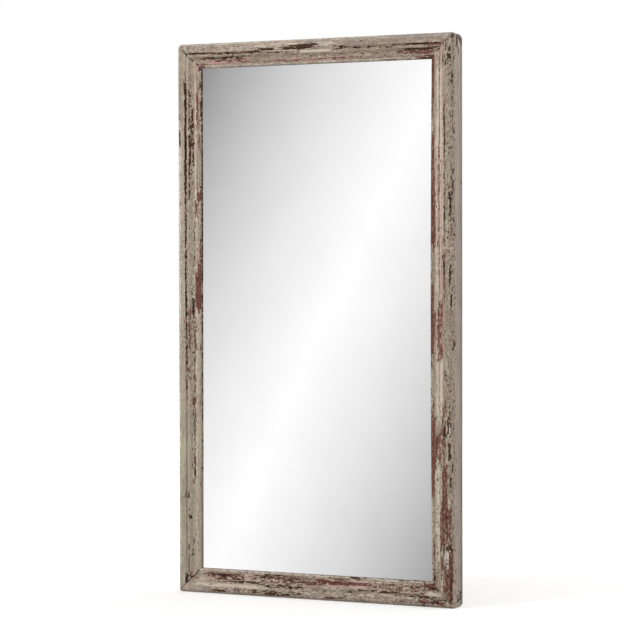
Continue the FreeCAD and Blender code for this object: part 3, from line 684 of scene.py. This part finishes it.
def worn_member(name, seed):
    """A member as a dense closed mesh, its mitred ends capped, with its wear as fields on the points."""
    is_rail = name.endswith("rail")
    length = 2 * (HALF_WIDTH if is_rail else HALF_HEIGHT)
    station = row_stations(length)[:, None] / length
    inset = SECTION.inset
    along = inset + (length - 2 * inset) * station
    fields = wear_fields(name, along, length, seed)

    loss = np.zeros(along.shape)
    for coat, (depth, whole) in LOSSES.items():
        loss = np.maximum(loss, depth * eased(fields[coat], LOSS_START_SHARE, whole))
    loss += UNEVEN_DEPTH * eased(member_noise(along, SURFACE_NOISE, seed), *UNEVEN_RANGE)
    mitre = mitre_depth(name, along, inset, length)
    loss = (loss + mitre) * SECTION.front
    dark_mitre = np.where(mitre > MITRE_DARK_DEPTH, MITRE_DARK_SHARE, 0) * SECTION.front
    fields["bare"] = np.maximum(fields["bare"], dark_mitre)

    inward = np.maximum(SECTION.place, 0) * SECTION.shown
    bow = SIGHT_BOWS.get(name, 0) * np.sin(math.pi * station) * inward ** BOW_POWER
    bow += SIGHT_SLANTS.get(name, 0) * np.maximum(1 - 2 * station, 0) * inward ** SLANT_POWER
    fill = FILL_SHARES[name] * (1 - eased(fields["bare"], *FILL_END_RANGE))
    worn_inset = inset + bow - loss * SECTION.facing[:, 0]
    worn_height = SECTION.height + fill * (SECTION.filled - SECTION.height) - loss * SECTION.facing[:, 1]
    worn_along = worn_inset + (length - 2 * worn_inset) * station
    outward = 1 if name.startswith(("top", "right")) else -1
    if is_rail:
        x = worn_along - HALF_WIDTH
        z = outward * (HALF_HEIGHT - worn_inset)
    else:
        x = outward * (HALF_WIDTH - worn_inset)
        z = HALF_HEIGHT - worn_along
    x, z = rounded_corners(x, z, worn_height / MOULDING_DEPTH)

    grid = np.arange(along.size).reshape(along.shape)
    following = np.roll(grid, -1, axis=1)
    quads = [grid[:-1], following[:-1], following[1:], grid[1:]]
    ends = [grid[0, ::-1], grid[-1]]
    if outward < 0:
        quads = quads[::-1]
        ends = [end[::-1] for end in ends]
    mesh = closed_mesh(f"worn_{name}", (x, BACK_Y - worn_height, z), quads, ends)
    mesh.polygons.foreach_set("use_smooth", [True] * (len(mesh.polygons) - 2) + [False, False])

    fields["tone"] = coat_tone(name, along, seed)
    fields["shade"] = coat_dirt_and_shade(name, along, length, seed)
    fields["grit"] = coat_grit(name, along, length, seed)
    fields["cover"] = paint_cover(along, seed)
    add_fields(mesh, {kind: np.clip(field, *FIELD_LIMITS) for kind, field in fields.items()})
    grain = np.stack(np.broadcast_arrays(along, SECTION.path, seed * MM), axis=-1)
    attribute = mesh.attributes.new("grain", "FLOAT_VECTOR", "POINT")
    attribute.data.foreach_set("vector", grain.astype(np.float32).ravel())
    return add_piece(mesh, name)


def closed_mesh(name, places, quads, ends):
    """A mesh from the places of its points, the four corners of its quads and its two end faces."""
    faces = np.stack(quads, axis=-1).reshape(-1, 4).tolist()
    faces += [end.tolist() for end in ends]
    mesh = bpy.data.meshes.new(name)
    mesh.from_pydata(np.stack(places, axis=-1).reshape(-1, 3).tolist(), [], faces)
    return mesh


def add_fields(mesh, fields):
    """Keeps fields on a mesh's points, where its material reads them."""
    for name, field in fields.items():
        attribute = mesh.attributes.new(name, "FLOAT", "POINT")
        attribute.data.foreach_set("value", np.asarray(field, np.float32).ravel())


def new_object(name, data):
    """An object in the scene."""
    made = bpy.data.objects.new(name, data)
    bpy.context.scene.collection.objects.link(made)
    return made


def add_piece(mesh, node, body="frame"):
    """Puts a mesh in the scene in place of a CAD node."""
    piece = new_object(mesh.name, mesh)
    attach(piece, body)
    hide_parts(node)
    return piece


# Materials

PAINT_RELIEF = 0.4 * MM
WOOD_RELIEF = 0.25 * MM
METAL_RELIEF = 0.08 * MM
RUBBER_RELIEF = 0.06 * MM

# How soft the border of each coat's loss is, and how far down a loss steps in the relief
SOFT_SHARES = {"stain_and_shade": 0.3, "pale": 0.12, "pink": 0.12, "red": 0.07, "bare": 0.05}
STEP_SHARES = {"pink": 0.25, "red": 0.35, "bare": 0.6}


def colour(red, green, blue):
    """A colour given as on screen, from 0 to 255, as Blender's linear light."""
    def linear(value):
        value /= 255
        return value / 12.92 if value <= 0.04045 else ((value + 0.055) / 1.055) ** 2.4
    return linear(red), linear(green), linear(blue), 1


class Nodes:
    """A node tree in the making: each call adds a node and returns the output asked for."""

    def __init__(self, tree):
        self.tree = tree

    def put(self, socket, value):
        """Sets or links one input."""
        if isinstance(value, bpy.types.NodeSocket):
            self.tree.links.new(value, socket)
        else:
            socket.default_value = value

    def add(self, kind, inputs, output=0, **settings):
        """Adds a node, sets or links its inputs and returns one output."""
        node = self.tree.nodes.new(kind)
        for key, value in settings.items():
            setattr(node, key, value)
        for key, value in inputs.items():
            self.put(node.inputs[key], value)
        return node.outputs[output]

    def field(self, name, output="Fac"):
        return self.add("ShaderNodeAttribute", {}, output, attribute_name=name)

    def place(self):
        return self.add("ShaderNodeTexCoord", {}, "Object")

    def noise(self, vector, scale, detail=3.0, roughness=0.55):
        """Noise with one scale, or with a scale for each axis."""
        if isinstance(scale, tuple):
            vector = self.add("ShaderNodeVectorMath", {0: vector, 1: scale}, operation="MULTIPLY")
            scale = 1.0
        inputs = {"Vector": vector, "Scale": scale, "Detail": detail, "Roughness": roughness}
        return self.add("ShaderNodeTexNoise", inputs)

    def math(self, operation, *values):
        return self.add("ShaderNodeMath", dict(enumerate(values)), operation=operation)

    def plus(self, first, second):
        return self.math("ADD", first, second)

    def times(self, first, second):
        return self.math("MULTIPLY", first, second)

    def ranged(self, value, low, high, new_low=0.0, new_high=1.0):
        inputs = {"Value": value, "From Min": low, "From Max": high, "To Min": new_low, "To Max": new_high}
        return self.add("ShaderNodeMapRange", inputs, interpolation_type="SMOOTHSTEP")

    def mix(self, share, first, second, blend="MIX"):
        """Mixes two colours."""
        inputs = {0: share, 6: first, 7: second}
        return self.add("ShaderNodeMix", inputs, 2, data_type="RGBA", blend_type=blend)

    def ramp(self, value, stops):
        """Colours at given values, blended between."""
        ramp = self.add("ShaderNodeValToRGB", {0: value})
        elements = ramp.node.color_ramp.elements
        elements[0].position, elements[0].color = stops[0]
        elements[1].position, elements[1].color = stops[-1]
        for position, stop_colour in stops[1:-1]:
            elements.new(position).color = stop_colour
        return ramp


class Shader(Nodes):
    """A material in the making, with the surface that it shows."""

    def __init__(self, name):
        self.material = bpy.data.materials.new(name)
        self.material.use_nodes = True
        super().__init__(self.material.node_tree)
        self.tree.nodes.clear()
        self.output = self.tree.nodes.new("ShaderNodeOutputMaterial")
        self.surface = self.tree.nodes.new("ShaderNodeBsdfPrincipled")
        self.show(self.surface.outputs[0])

    def show(self, surface):
        """Makes this the surface that the material shows."""
        self.tree.links.new(surface, self.output.inputs["Surface"])

    def set(self, **inputs):
        """Sets or links the surface's own inputs, named with underscores for spaces."""
        for key, value in inputs.items():
            self.put(self.surface.inputs[key.replace("_", " ")], value)

    def bump(self, height, distance, strength):
        inputs = {"Height": height, "Distance": distance, "Strength": strength}
        self.set(Normal=self.add("ShaderNodeBump", inputs))


def painted_wood():
    """Grey-beige paint over pink and red coats over dark wood, each seen where the ones above are lost."""
    shader = Shader("painted_wood")
    grain = shader.field("grain", "Vector")
    grit = shader.field("grit")
    ragged = shader.noise(grain, (300, 520, 1), 3.0, 0.6)
    streaks = shader.noise(grain, (30, 800, 1), 4.0, 0.6)
    blotches = shader.noise(grain, (40, 120, 1), 3.0, 0.5)
    flecks = shader.noise(grain, (150, 320, 1), 2.0, 0.55)
    pits = shader.noise(grain, (170, 300, 3), 2.0, 0.5)
    fine = shader.ranged(ragged, 0.25, 0.75, -0.25, 0.25)
    coarse = shader.times(shader.ranged(flecks, 0.25, 0.75, -0.3, 0.3), grit)
    nudge = shader.plus(fine, coarse)
    lost = {}
    for coat, soft in SOFT_SHARES.items():
        lost[coat] = shader.ranged(shader.plus(shader.field(coat), nudge), 0.5 - soft, 0.5 + soft)

    tone = shader.plus(shader.field("tone"), shader.ranged(blotches, 0.2, 0.8, -0.25, 0.25))
    top = shader.ramp(tone, [
        (0.0, colour(180, 174, 152)),
        (0.35, colour(172, 162, 143)),
        (0.65, colour(171, 154, 139)),
        (1.0, colour(160, 150, 145)),
    ])
    top = shader.mix(shader.ranged(streaks, 0.42, 0.72, 0.0, 0.45), top, colour(122, 104, 88))
    brown_flecks = shader.times(shader.ranged(pits, 0.53, 0.68, 0.0, 0.85), grit)
    cream_flecks = shader.times(shader.ranged(pits, 0.47, 0.34, 0.0, 0.75), grit)
    top = shader.mix(brown_flecks, top, colour(112, 88, 73))
    top = shader.mix(cream_flecks, top, colour(206, 192, 174))
    # Brown stain, which on the right stile's inner bead and by its lower mitre is painted shade
    top = shader.mix(shader.times(lost["stain_and_shade"], 0.45), top, colour(126, 101, 85))

    cream = shader.ramp(blotches, [(0.3, colour(204, 194, 175)), (0.7, colour(210, 196, 180))])
    pink = shader.ramp(streaks, [(0.3, colour(196, 165, 155)), (0.7, colour(162, 129, 119))])
    red = shader.ramp(blotches, [(0.3, colour(124, 79, 67)), (0.7, colour(100, 55, 45))])
    red = shader.mix(shader.ranged(streaks, 0.48, 0.72, 0.0, 0.55), red, colour(78, 40, 31))
    red = shader.mix(brown_flecks, red, colour(84, 55, 45))
    red = shader.mix(shader.times(cream_flecks, 0.6), red, colour(176, 142, 127))
    wood_stops = [(0.3, colour(46, 25, 15)), (0.55, colour(72, 44, 28)), (0.8, colour(112, 78, 52))]
    wood = shader.ramp(streaks, wood_stops)

    layers = shader.mix(lost["pink"], top, pink)
    # Cream where a paler coat shows, partly as painted highlights on crests, arrises and rounded edges
    layers = shader.mix(shader.times(lost["pale"], 0.85), layers, cream)
    layers = shader.mix(shader.times(shader.field("rim"), 0.4), layers, cream)
    layers = shader.mix(lost["red"], layers, red)
    # Dark wood where the coats are worn through, and as the painted shadow on the lip at the glass
    layers = shader.mix(lost["bare"], layers, wood)
    # The shade field darkens every coat: dirt and painted shade
    layers = shader.mix(1.0, layers, shader.field("shade", "Color"), "MULTIPLY")

    raw_stops = [(0.25, colour(150, 116, 82)), (0.55, colour(118, 86, 58)), (0.8, colour(84, 58, 40))]
    raw = shader.ramp(streaks, raw_stops)
    raw = shader.mix(shader.ranged(blotches, 0.45, 0.75, 0.0, 0.5), raw, colour(92, 74, 58))
    painted = shader.ranged(shader.plus(shader.field("cover"), nudge), 0.44, 0.56)
    shader.set(Base_Color=shader.mix(painted, raw, layers))
    shader.set(Roughness=shader.ranged(streaks, 0.3, 0.7, 0.58, 0.8))
    shader.set(Specular_IOR_Level=0.26)

    height = 1.0
    for coat, step in STEP_SHARES.items():
        height = shader.math("SUBTRACT", height, shader.times(lost[coat], step))
    height = shader.plus(height, shader.times(streaks, 0.35))
    height = shader.plus(height, shader.times(shader.times(pits, grit), 0.4))
    shader.bump(height, PAINT_RELIEF, 0.8)
    return shader.material


def mirror_glass():
    """Silvered glass with the faintest unevenness."""
    shader = Shader("mirror_glass")
    haze = shader.noise(shader.place(), 9.0, 4.0)
    shader.set(Base_Color=shader.ramp(haze, [(0.3, colour(249, 249, 249)), (0.7, colour(253, 253, 253))]))
    shader.set(Metallic=1.0)
    shader.set(Roughness=shader.ranged(haze, 0.3, 0.7, 0.004, 0.012))
    return shader.material


def bare_wood(name, light, middle, dark, grain_axis, has_knots=False):
    """Bare wood along one axis, with rings, fibres and dust; where there are knots, also tint and soil."""
    shader = Shader(name)
    fibre_scale, ring_scale = {
        "x": ((16.8, 420, 420), (0.96, 24, 24)),
        "z": ((420, 420, 16.8), (24, 24, 0.96)),
    }[grain_axis]
    fibre = shader.noise(shader.place(), fibre_scale, 4.0, 0.65)
    if has_knots:
        rings_at = shader.field("rings")
    else:
        rings_at = shader.times(shader.noise(shader.place(), ring_scale), 14.0)
    rings = shader.math("PINGPONG", rings_at, 1.0)
    dust = shader.noise(shader.place(), 11.0, 4.0)
    wood = shader.ramp(rings, [(0.0, light), (0.75, middle), (1.0, dark)])
    wood = shader.mix(shader.ranged(fibre, 0.4, 0.75, 0.0, 0.7), wood, dark)
    if has_knots:
        wood = shader.mix(shader.field("tint"), wood, colour(112, 84, 60))
        knot = shader.ranged(shader.field("knot"), 0.15, 0.75, 0.0, 0.85)
        wood = shader.mix(knot, wood, colour(78, 49, 31))
        soil = shader.times(shader.field("soil"), shader.ranged(dust, 0.25, 0.6, 0.35, 0.95))
        wood = shader.mix(soil, wood, colour(62, 48, 37))
    wood = shader.mix(shader.ranged(dust, 0.48, 0.75, 0.0, 0.4), wood, colour(124, 108, 90))
    shader.set(Base_Color=wood)
    shader.set(Roughness=shader.ranged(fibre, 0.3, 0.7, 0.62, 0.85))
    shader.set(Specular_IOR_Level=0.25)
    shader.bump(shader.plus(shader.times(rings, 0.5), shader.times(fibre, 0.8)), WOOD_RELIEF, 0.7)
    return shader.material


def dull_metal(name, bright, dull, spots, roughness):
    """Old plated or rolled metal with tarnish, fine scratches and dark spots."""
    shader = Shader(name)
    tarnish = shader.noise(shader.place(), 90.0, 5.0, 0.65)
    scratches = shader.noise(shader.place(), (2600, 400, 300), 2.0)
    metal = shader.ramp(tarnish, [(0.35, bright), (0.65, dull)])
    metal = shader.mix(shader.ranged(scratches, 0.6, 0.75, 0.0, 0.35), metal, bright)
    metal = shader.mix(shader.ranged(tarnish, 0.62, 0.72, 0.0, 0.7), metal, spots)
    shader.set(Base_Color=metal)
    shader.set(Metallic=shader.ranged(tarnish, 0.6, 0.75, 1.0, 0.55))
    shader.set(Roughness=shader.ranged(tarnish, 0.3, 0.7, roughness, roughness + 0.25))
    shader.bump(shader.plus(tarnish, shader.times(scratches, 0.4)), METAL_RELIEF, 0.6)
    return shader.material


def dusty_rubber():
    """Dark soft rubber with dust and a fine mould texture."""
    shader = Shader("bumper_rubber")
    dust = shader.noise(shader.place(), 160.0, 5.0, 0.65)
    pores = shader.noise(shader.place(), 1800.0, 2.0)
    rubber = shader.ramp(dust, [(0.35, colour(52, 47, 43)), (0.7, colour(84, 78, 71))])
    shader.set(Base_Color=rubber)
    shader.set(Roughness=shader.ranged(dust, 0.3, 0.7, 0.65, 0.85))
    shader.bump(pores, RUBBER_RELIEF, 0.6)
    return shader.material


def dress(node, material):
    """Gives a CAD node its finish."""
    mesh = NODES[node].data
    mesh.materials.clear()
    mesh.materials.append(material)


# Back boards, uneven on the side that shows

BOARD_STEP = 3.5 * MM
BOARD_ROW_STEP = 6 * MM
BOARD_UNEVEN = 0.35 * MM
BOARD_UNEVEN_RANGE = (-0.6, 1.4)
BOARD_BACK_REACH = 1.5 * MM
BOARD_SOIL = 9 * MM

# Noise over the boards: how long and wide its patches are, and how much the weaker kinds count
SAW_NOISE = (9 * MM, 60 * MM)
SAW_SHARE = 0.35
HOLLOW_NOISE = (160 * MM, 30 * MM)
RING_NOISE = (90 * MM, 9 * MM)
RING_NOISE_SHARE = 0.3

# Growth rings, and the knots that they bend round
RING_WIDTH = 11 * MM
RING_LENGTH = 500 * MM
RING_WANDER = 55 * MM
RING_SWING = 4
KNOTS = 3
KNOT_WIDTH = 9 * MM
KNOT_LENGTH = 14 * MM
KNOT_SIZES = (0.4, 1.2)
KNOT_BEND = 4
BEND_WIDTHS = 3
BEND_LENGTHS = 6
SAME_PLACE = 0.01 * MM

# Each board's tint and the seed of its random draws
BOARDS = {"left": (0.3, 1010), "centre": (0.0, 1020), "right": (0.16, 1030)}


def board_fields(x, z, low, high, tint, seed):
    """Rings, knots, soil along the edges and tint of a board, by point."""
    random = np.random.default_rng(seed + 7)
    rings = (x - low.x) / RING_WIDTH + RING_SWING * smooth_noise(z / RING_LENGTH, x / RING_WANDER, seed + 8)
    rings += RING_NOISE_SHARE * layered_noise(z, x, *RING_NOISE, seed + 9)
    knot = np.zeros(x.shape)
    for index in range(KNOTS):
        from_x = x - random.uniform(low.x, high.x)
        from_z = z - low.z - (high.z - low.z) * (index + random.random()) / KNOTS
        size = random.uniform(*KNOT_SIZES)
        knot = np.maximum(knot, np.exp(-(from_x / KNOT_WIDTH) ** 2 - (from_z / KNOT_LENGTH) ** 2) * size)
        bend_x = from_x / KNOT_WIDTH / BEND_WIDTHS
        bend_z = from_z / KNOT_LENGTH / BEND_LENGTHS
        rings += KNOT_BEND * size * np.exp(-bend_x ** 2 - bend_z ** 2)
    edge = np.minimum(np.minimum(x - low.x, high.x - x), np.minimum(z - low.z, high.z - z))
    soil = 1 - eased(edge, 0, BOARD_SOIL)
    return {"rings": rings, "knot": knot, "soil": soil, "tint": np.full(x.shape, tint)}


def cap_outline(node):
    """The outline of a board's upper end, in order, as x and y."""
    shape = bmesh.new()
    shape.from_mesh(NODES[node].data)
    bmesh.ops.remove_doubles(shape, verts=shape.verts, dist=SAME_PLACE)
    top = max(vert.co.z for vert in shape.verts)
    cap = [face for face in shape.faces if all(top - vert.co.z < SAME_PLACE for vert in face.verts)]
    whole = bmesh.ops.dissolve_faces(shape, faces=cap)["region"][0]
    outline = np.array([(vert.co.x, vert.co.y) for vert in whole.verts])
    shape.free()
    x, y = outline.T
    area = np.sum(x * np.roll(y, -1) - np.roll(x, -1) * y)
    return outline if area > 0 else outline[::-1]


def worn_board(side, tint, seed):
    """A back board with its section from the CAD board, uneven on the side that shows."""
    node = f"back_board_{side}"
    low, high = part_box(node)
    outline = cap_outline(node)
    points = []
    for start, end in zip(outline, np.roll(outline, -1, axis=0)):
        count = max(1, math.ceil(np.hypot(*(end - start)) / BOARD_STEP))
        points += [start + (end - start) * step / count for step in range(count)]
    loop = np.array(points)
    rows = np.linspace(high.z, low.z, math.ceil((high.z - low.z) / BOARD_ROW_STEP) + 1)
    x = np.broadcast_to(loop[:, 0], (len(rows), len(loop)))
    z = np.broadcast_to(rows[:, None], x.shape)
    saw_marks = layered_noise(z, x, *SAW_NOISE, seed, 2)
    hollows = layered_noise(z, x, *HOLLOW_NOISE, seed + 5)
    behind = eased(loop[:, 1], high.y - BOARD_BACK_REACH, high.y)
    uneven = eased(SAW_SHARE * saw_marks + hollows, *BOARD_UNEVEN_RANGE)
    y = loop[:, 1] - behind * BOARD_UNEVEN * uneven
    grid = np.arange(x.size).reshape(x.shape)
    following = np.roll(grid, -1, axis=1)
    quads = [grid[:-1], grid[1:], following[1:], following[:-1]]
    mesh = closed_mesh(f"worn_{node}", (x, y, z), quads, [grid[0], grid[-1, ::-1]])
    add_fields(mesh, board_fields(x, z, low, high, tint, seed))
    return add_piece(mesh, node)


# The whole object

def build_object():
    paint = painted_wood()
    for name, seed in MEMBER_SEEDS.items():
        worn_member(name, seed).data.materials.append(paint)

    pine = (colour(170, 133, 93), colour(156, 119, 81), colour(122, 89, 59))
    board_wood = bare_wood("back_board_wood", *pine, "z", has_knots=True)
    for side, (tint, seed) in BOARDS.items():
        worn_board(side, tint, seed).data.materials.append(board_wood)

    batten = (colour(196, 160, 116), colour(176, 138, 96), colour(128, 94, 62))
    upright = bare_wood("packing_wood", *batten, "z")
    level = bare_wood("packing_wood_level", *batten, "x")
    brass = dull_metal("aged_brass", colour(164, 134, 82), colour(122, 97, 60), colour(66, 51, 35), 0.4)
    grey = (colour(186, 186, 182), colour(140, 140, 137), colour(92, 80, 68))
    steel = dull_metal("hanger_steel", *grey, 0.34)
    rubber = dusty_rubber()
    finishes = {
        "mirror_plate": mirror_glass(),
        "packing_strip_left": upright,
        "packing_strip_right": upright,
        "packing_strip": level,
        "mitre_spline": level,
        "glass_block": level,
        "turn_button": brass,
        "button_screws": brass,
        "hanger": steel,
        "wall_bumper": rubber,
    }
    for node in NODES:
        for start, material in finishes.items():
            if node.startswith(start):
                dress(node, material)
                break


# Stage: floor, background, reflected card, lights and camera

FLOOR_HALF = 30
FLOOR_GLOW_NEAR = 0.27
FLOOR_GLOW_FAR = 0.55
FLOOR_NEAR = 0.8
FLOOR_FAR = 4.5
WORLD_LEVEL = 0.62

# The card's place and size, then its glow: how bright its diagonal band is and how it falls off beside it
CARD_Y = -3.0
CARD_HALF_WIDTH = 30
CARD_HALF_HEIGHT = 24
CARD_LEVEL = 1.036
CARD_MIDDLE_X = -1.481
CARD_MIDDLE_Z = -0.0724
CARD_SPAN_X = 0.4633
CARD_SPAN_Z = 0.9057
CARD_SHIFT = 0.05
CARD_FALL = 0.44
CARD_CURVE = 0.28
CARD_REACH = 1.05

# The camera, fitted to the frame's corners in the photograph
CAMERA_PLACE = Vector((2.433, -4.9035, 0.119))
CAMERA_YAW = math.radians(26.452)
CAMERA_PITCH = math.radians(-1.26)
CAMERA_ROLL = math.radians(-0.12)
CAMERA_LENS = 140.625

# Soft lights: place and watts
LAMP_SIZE = 2.2
LAMPS = {
    "key_light": ((-2.4, -3.2, 2.6), 100),
    "side_light": ((3.4, -1.6, 1.2), 17),
    "back_light": ((1.5, 3.2, 2.0), 70),
}


def plane(name, corners):
    mesh = bpy.data.meshes.new(name)
    mesh.from_pydata(corners, [], [tuple(range(len(corners)))])
    piece = new_object(name, mesh)
    return piece


def add_floor():
    """A pale floor under the frame that reads white and still takes its shadow."""
    level = -HALF_HEIGHT
    corners = [(-1, -1), (1, -1), (1, 1), (-1, 1)]
    floor = plane("floor", [(x * FLOOR_HALF, y * FLOOR_HALF, level) for x, y in corners])
    floor.visible_glossy = False
    shader = Shader("pale_floor")
    shader.set(Base_Color=colour(235, 235, 234), Roughness=0.9, Specular_IOR_Level=0.0)
    away = shader.add("ShaderNodeVectorMath", {0: shader.place()}, "Value", operation="LENGTH")
    strength = shader.ranged(away, FLOOR_NEAR, FLOOR_FAR, FLOOR_GLOW_NEAR, FLOOR_GLOW_FAR)
    glow = shader.add("ShaderNodeEmission", {"Strength": strength})
    seen = shader.add("ShaderNodeLightPath", {}, "Is Camera Ray")
    shown = shader.add("ShaderNodeMixShader", {0: seen, 2: glow})
    shader.show(shader.add("ShaderNodeAddShader", {0: shader.surface.outputs[0], 1: shown}))
    floor.data.materials.append(shader.material)


def add_card():
    """A softly banded card that only reflections see, so that the glass shows light and shade."""
    card = plane("reflection_card", [
        (-CARD_HALF_WIDTH, CARD_Y, -CARD_HALF_HEIGHT),
        (-CARD_HALF_WIDTH, CARD_Y, CARD_HALF_HEIGHT),
        (CARD_HALF_WIDTH, CARD_Y, CARD_HALF_HEIGHT),
        (CARD_HALF_WIDTH, CARD_Y, -CARD_HALF_HEIGHT),
    ])
    card.visible_camera = False
    card.visible_diffuse = False
    card.visible_shadow = False
    card.visible_transmission = False
    shader = Shader("reflection_card")
    place = shader.add("ShaderNodeSeparateXYZ", {0: shader.place()}).node.outputs
    across = shader.math("MULTIPLY_ADD", place["X"], 1 / CARD_SPAN_X, -CARD_MIDDLE_X / CARD_SPAN_X)
    upward = shader.math("MULTIPLY_ADD", place["Z"], 1 / CARD_SPAN_Z, -CARD_MIDDLE_Z / CARD_SPAN_Z)
    offset = shader.math("MULTIPLY_ADD", shader.math("SUBTRACT", across, upward), 0.5, -CARD_SHIFT)
    band = shader.math("MINIMUM", shader.math("ABSOLUTE", offset), CARD_REACH)
    slope = shader.math("MULTIPLY_ADD", band, -CARD_CURVE, -CARD_FALL)
    level = shader.math("MULTIPLY_ADD", band, slope, CARD_LEVEL)
    shader.show(shader.add("ShaderNodeEmission", {"Strength": level}))
    card.data.materials.append(shader.material)


def add_world():
    """White where the camera or a reflection sees it, and a dimmer light on all else."""
    world = bpy.data.worlds.new("studio")
    bpy.context.scene.world = world
    world.use_nodes = True
    nodes = Nodes(world.node_tree)
    path = nodes.add("ShaderNodeLightPath", {}).node.outputs
    seen = nodes.math("MAXIMUM", path["Is Camera Ray"], path["Is Glossy Ray"])
    seen = nodes.math("MAXIMUM", seen, path["Is Transmission Ray"])
    strength = nodes.add("ShaderNodeMapRange", {"Value": seen, "To Min": WORLD_LEVEL, "To Max": 1.0})
    background = world.node_tree.nodes["Background"]
    nodes.put(background.inputs["Color"], (1, 1, 1, 1))
    nodes.put(background.inputs["Strength"], strength)


def add_lamp(name, place, watts):
    """A square soft light aimed at the frame's middle."""
    light = bpy.data.lights.new(name, "AREA")
    light.size = LAMP_SIZE
    light.energy = watts
    lamp = new_object(name, light)
    lamp.location = place
    lamp.rotation_euler = (-Vector(place)).to_track_quat("-Z", "Y").to_euler()


def add_camera():
    lens = bpy.data.cameras.new("camera")
    lens.lens = CAMERA_LENS
    camera = new_object("camera", lens)
    turn = Matrix.Rotation(CAMERA_YAW, 4, "Z")
    tilt = Matrix.Rotation(math.pi / 2 + CAMERA_PITCH, 4, "X")
    roll = Matrix.Rotation(CAMERA_ROLL, 4, "Z")
    camera.matrix_world = Matrix.Translation(CAMERA_PLACE) @ turn @ tilt @ roll
    bpy.context.scene.camera = camera


def build_stage():
    add_floor()
    add_card()
    add_world()
    for name, (place, watts) in LAMPS.items():
        add_lamp(name, place, watts)
    add_camera()
    bpy.context.scene.view_settings.view_transform = "Standard"


build_object()
build_stage()
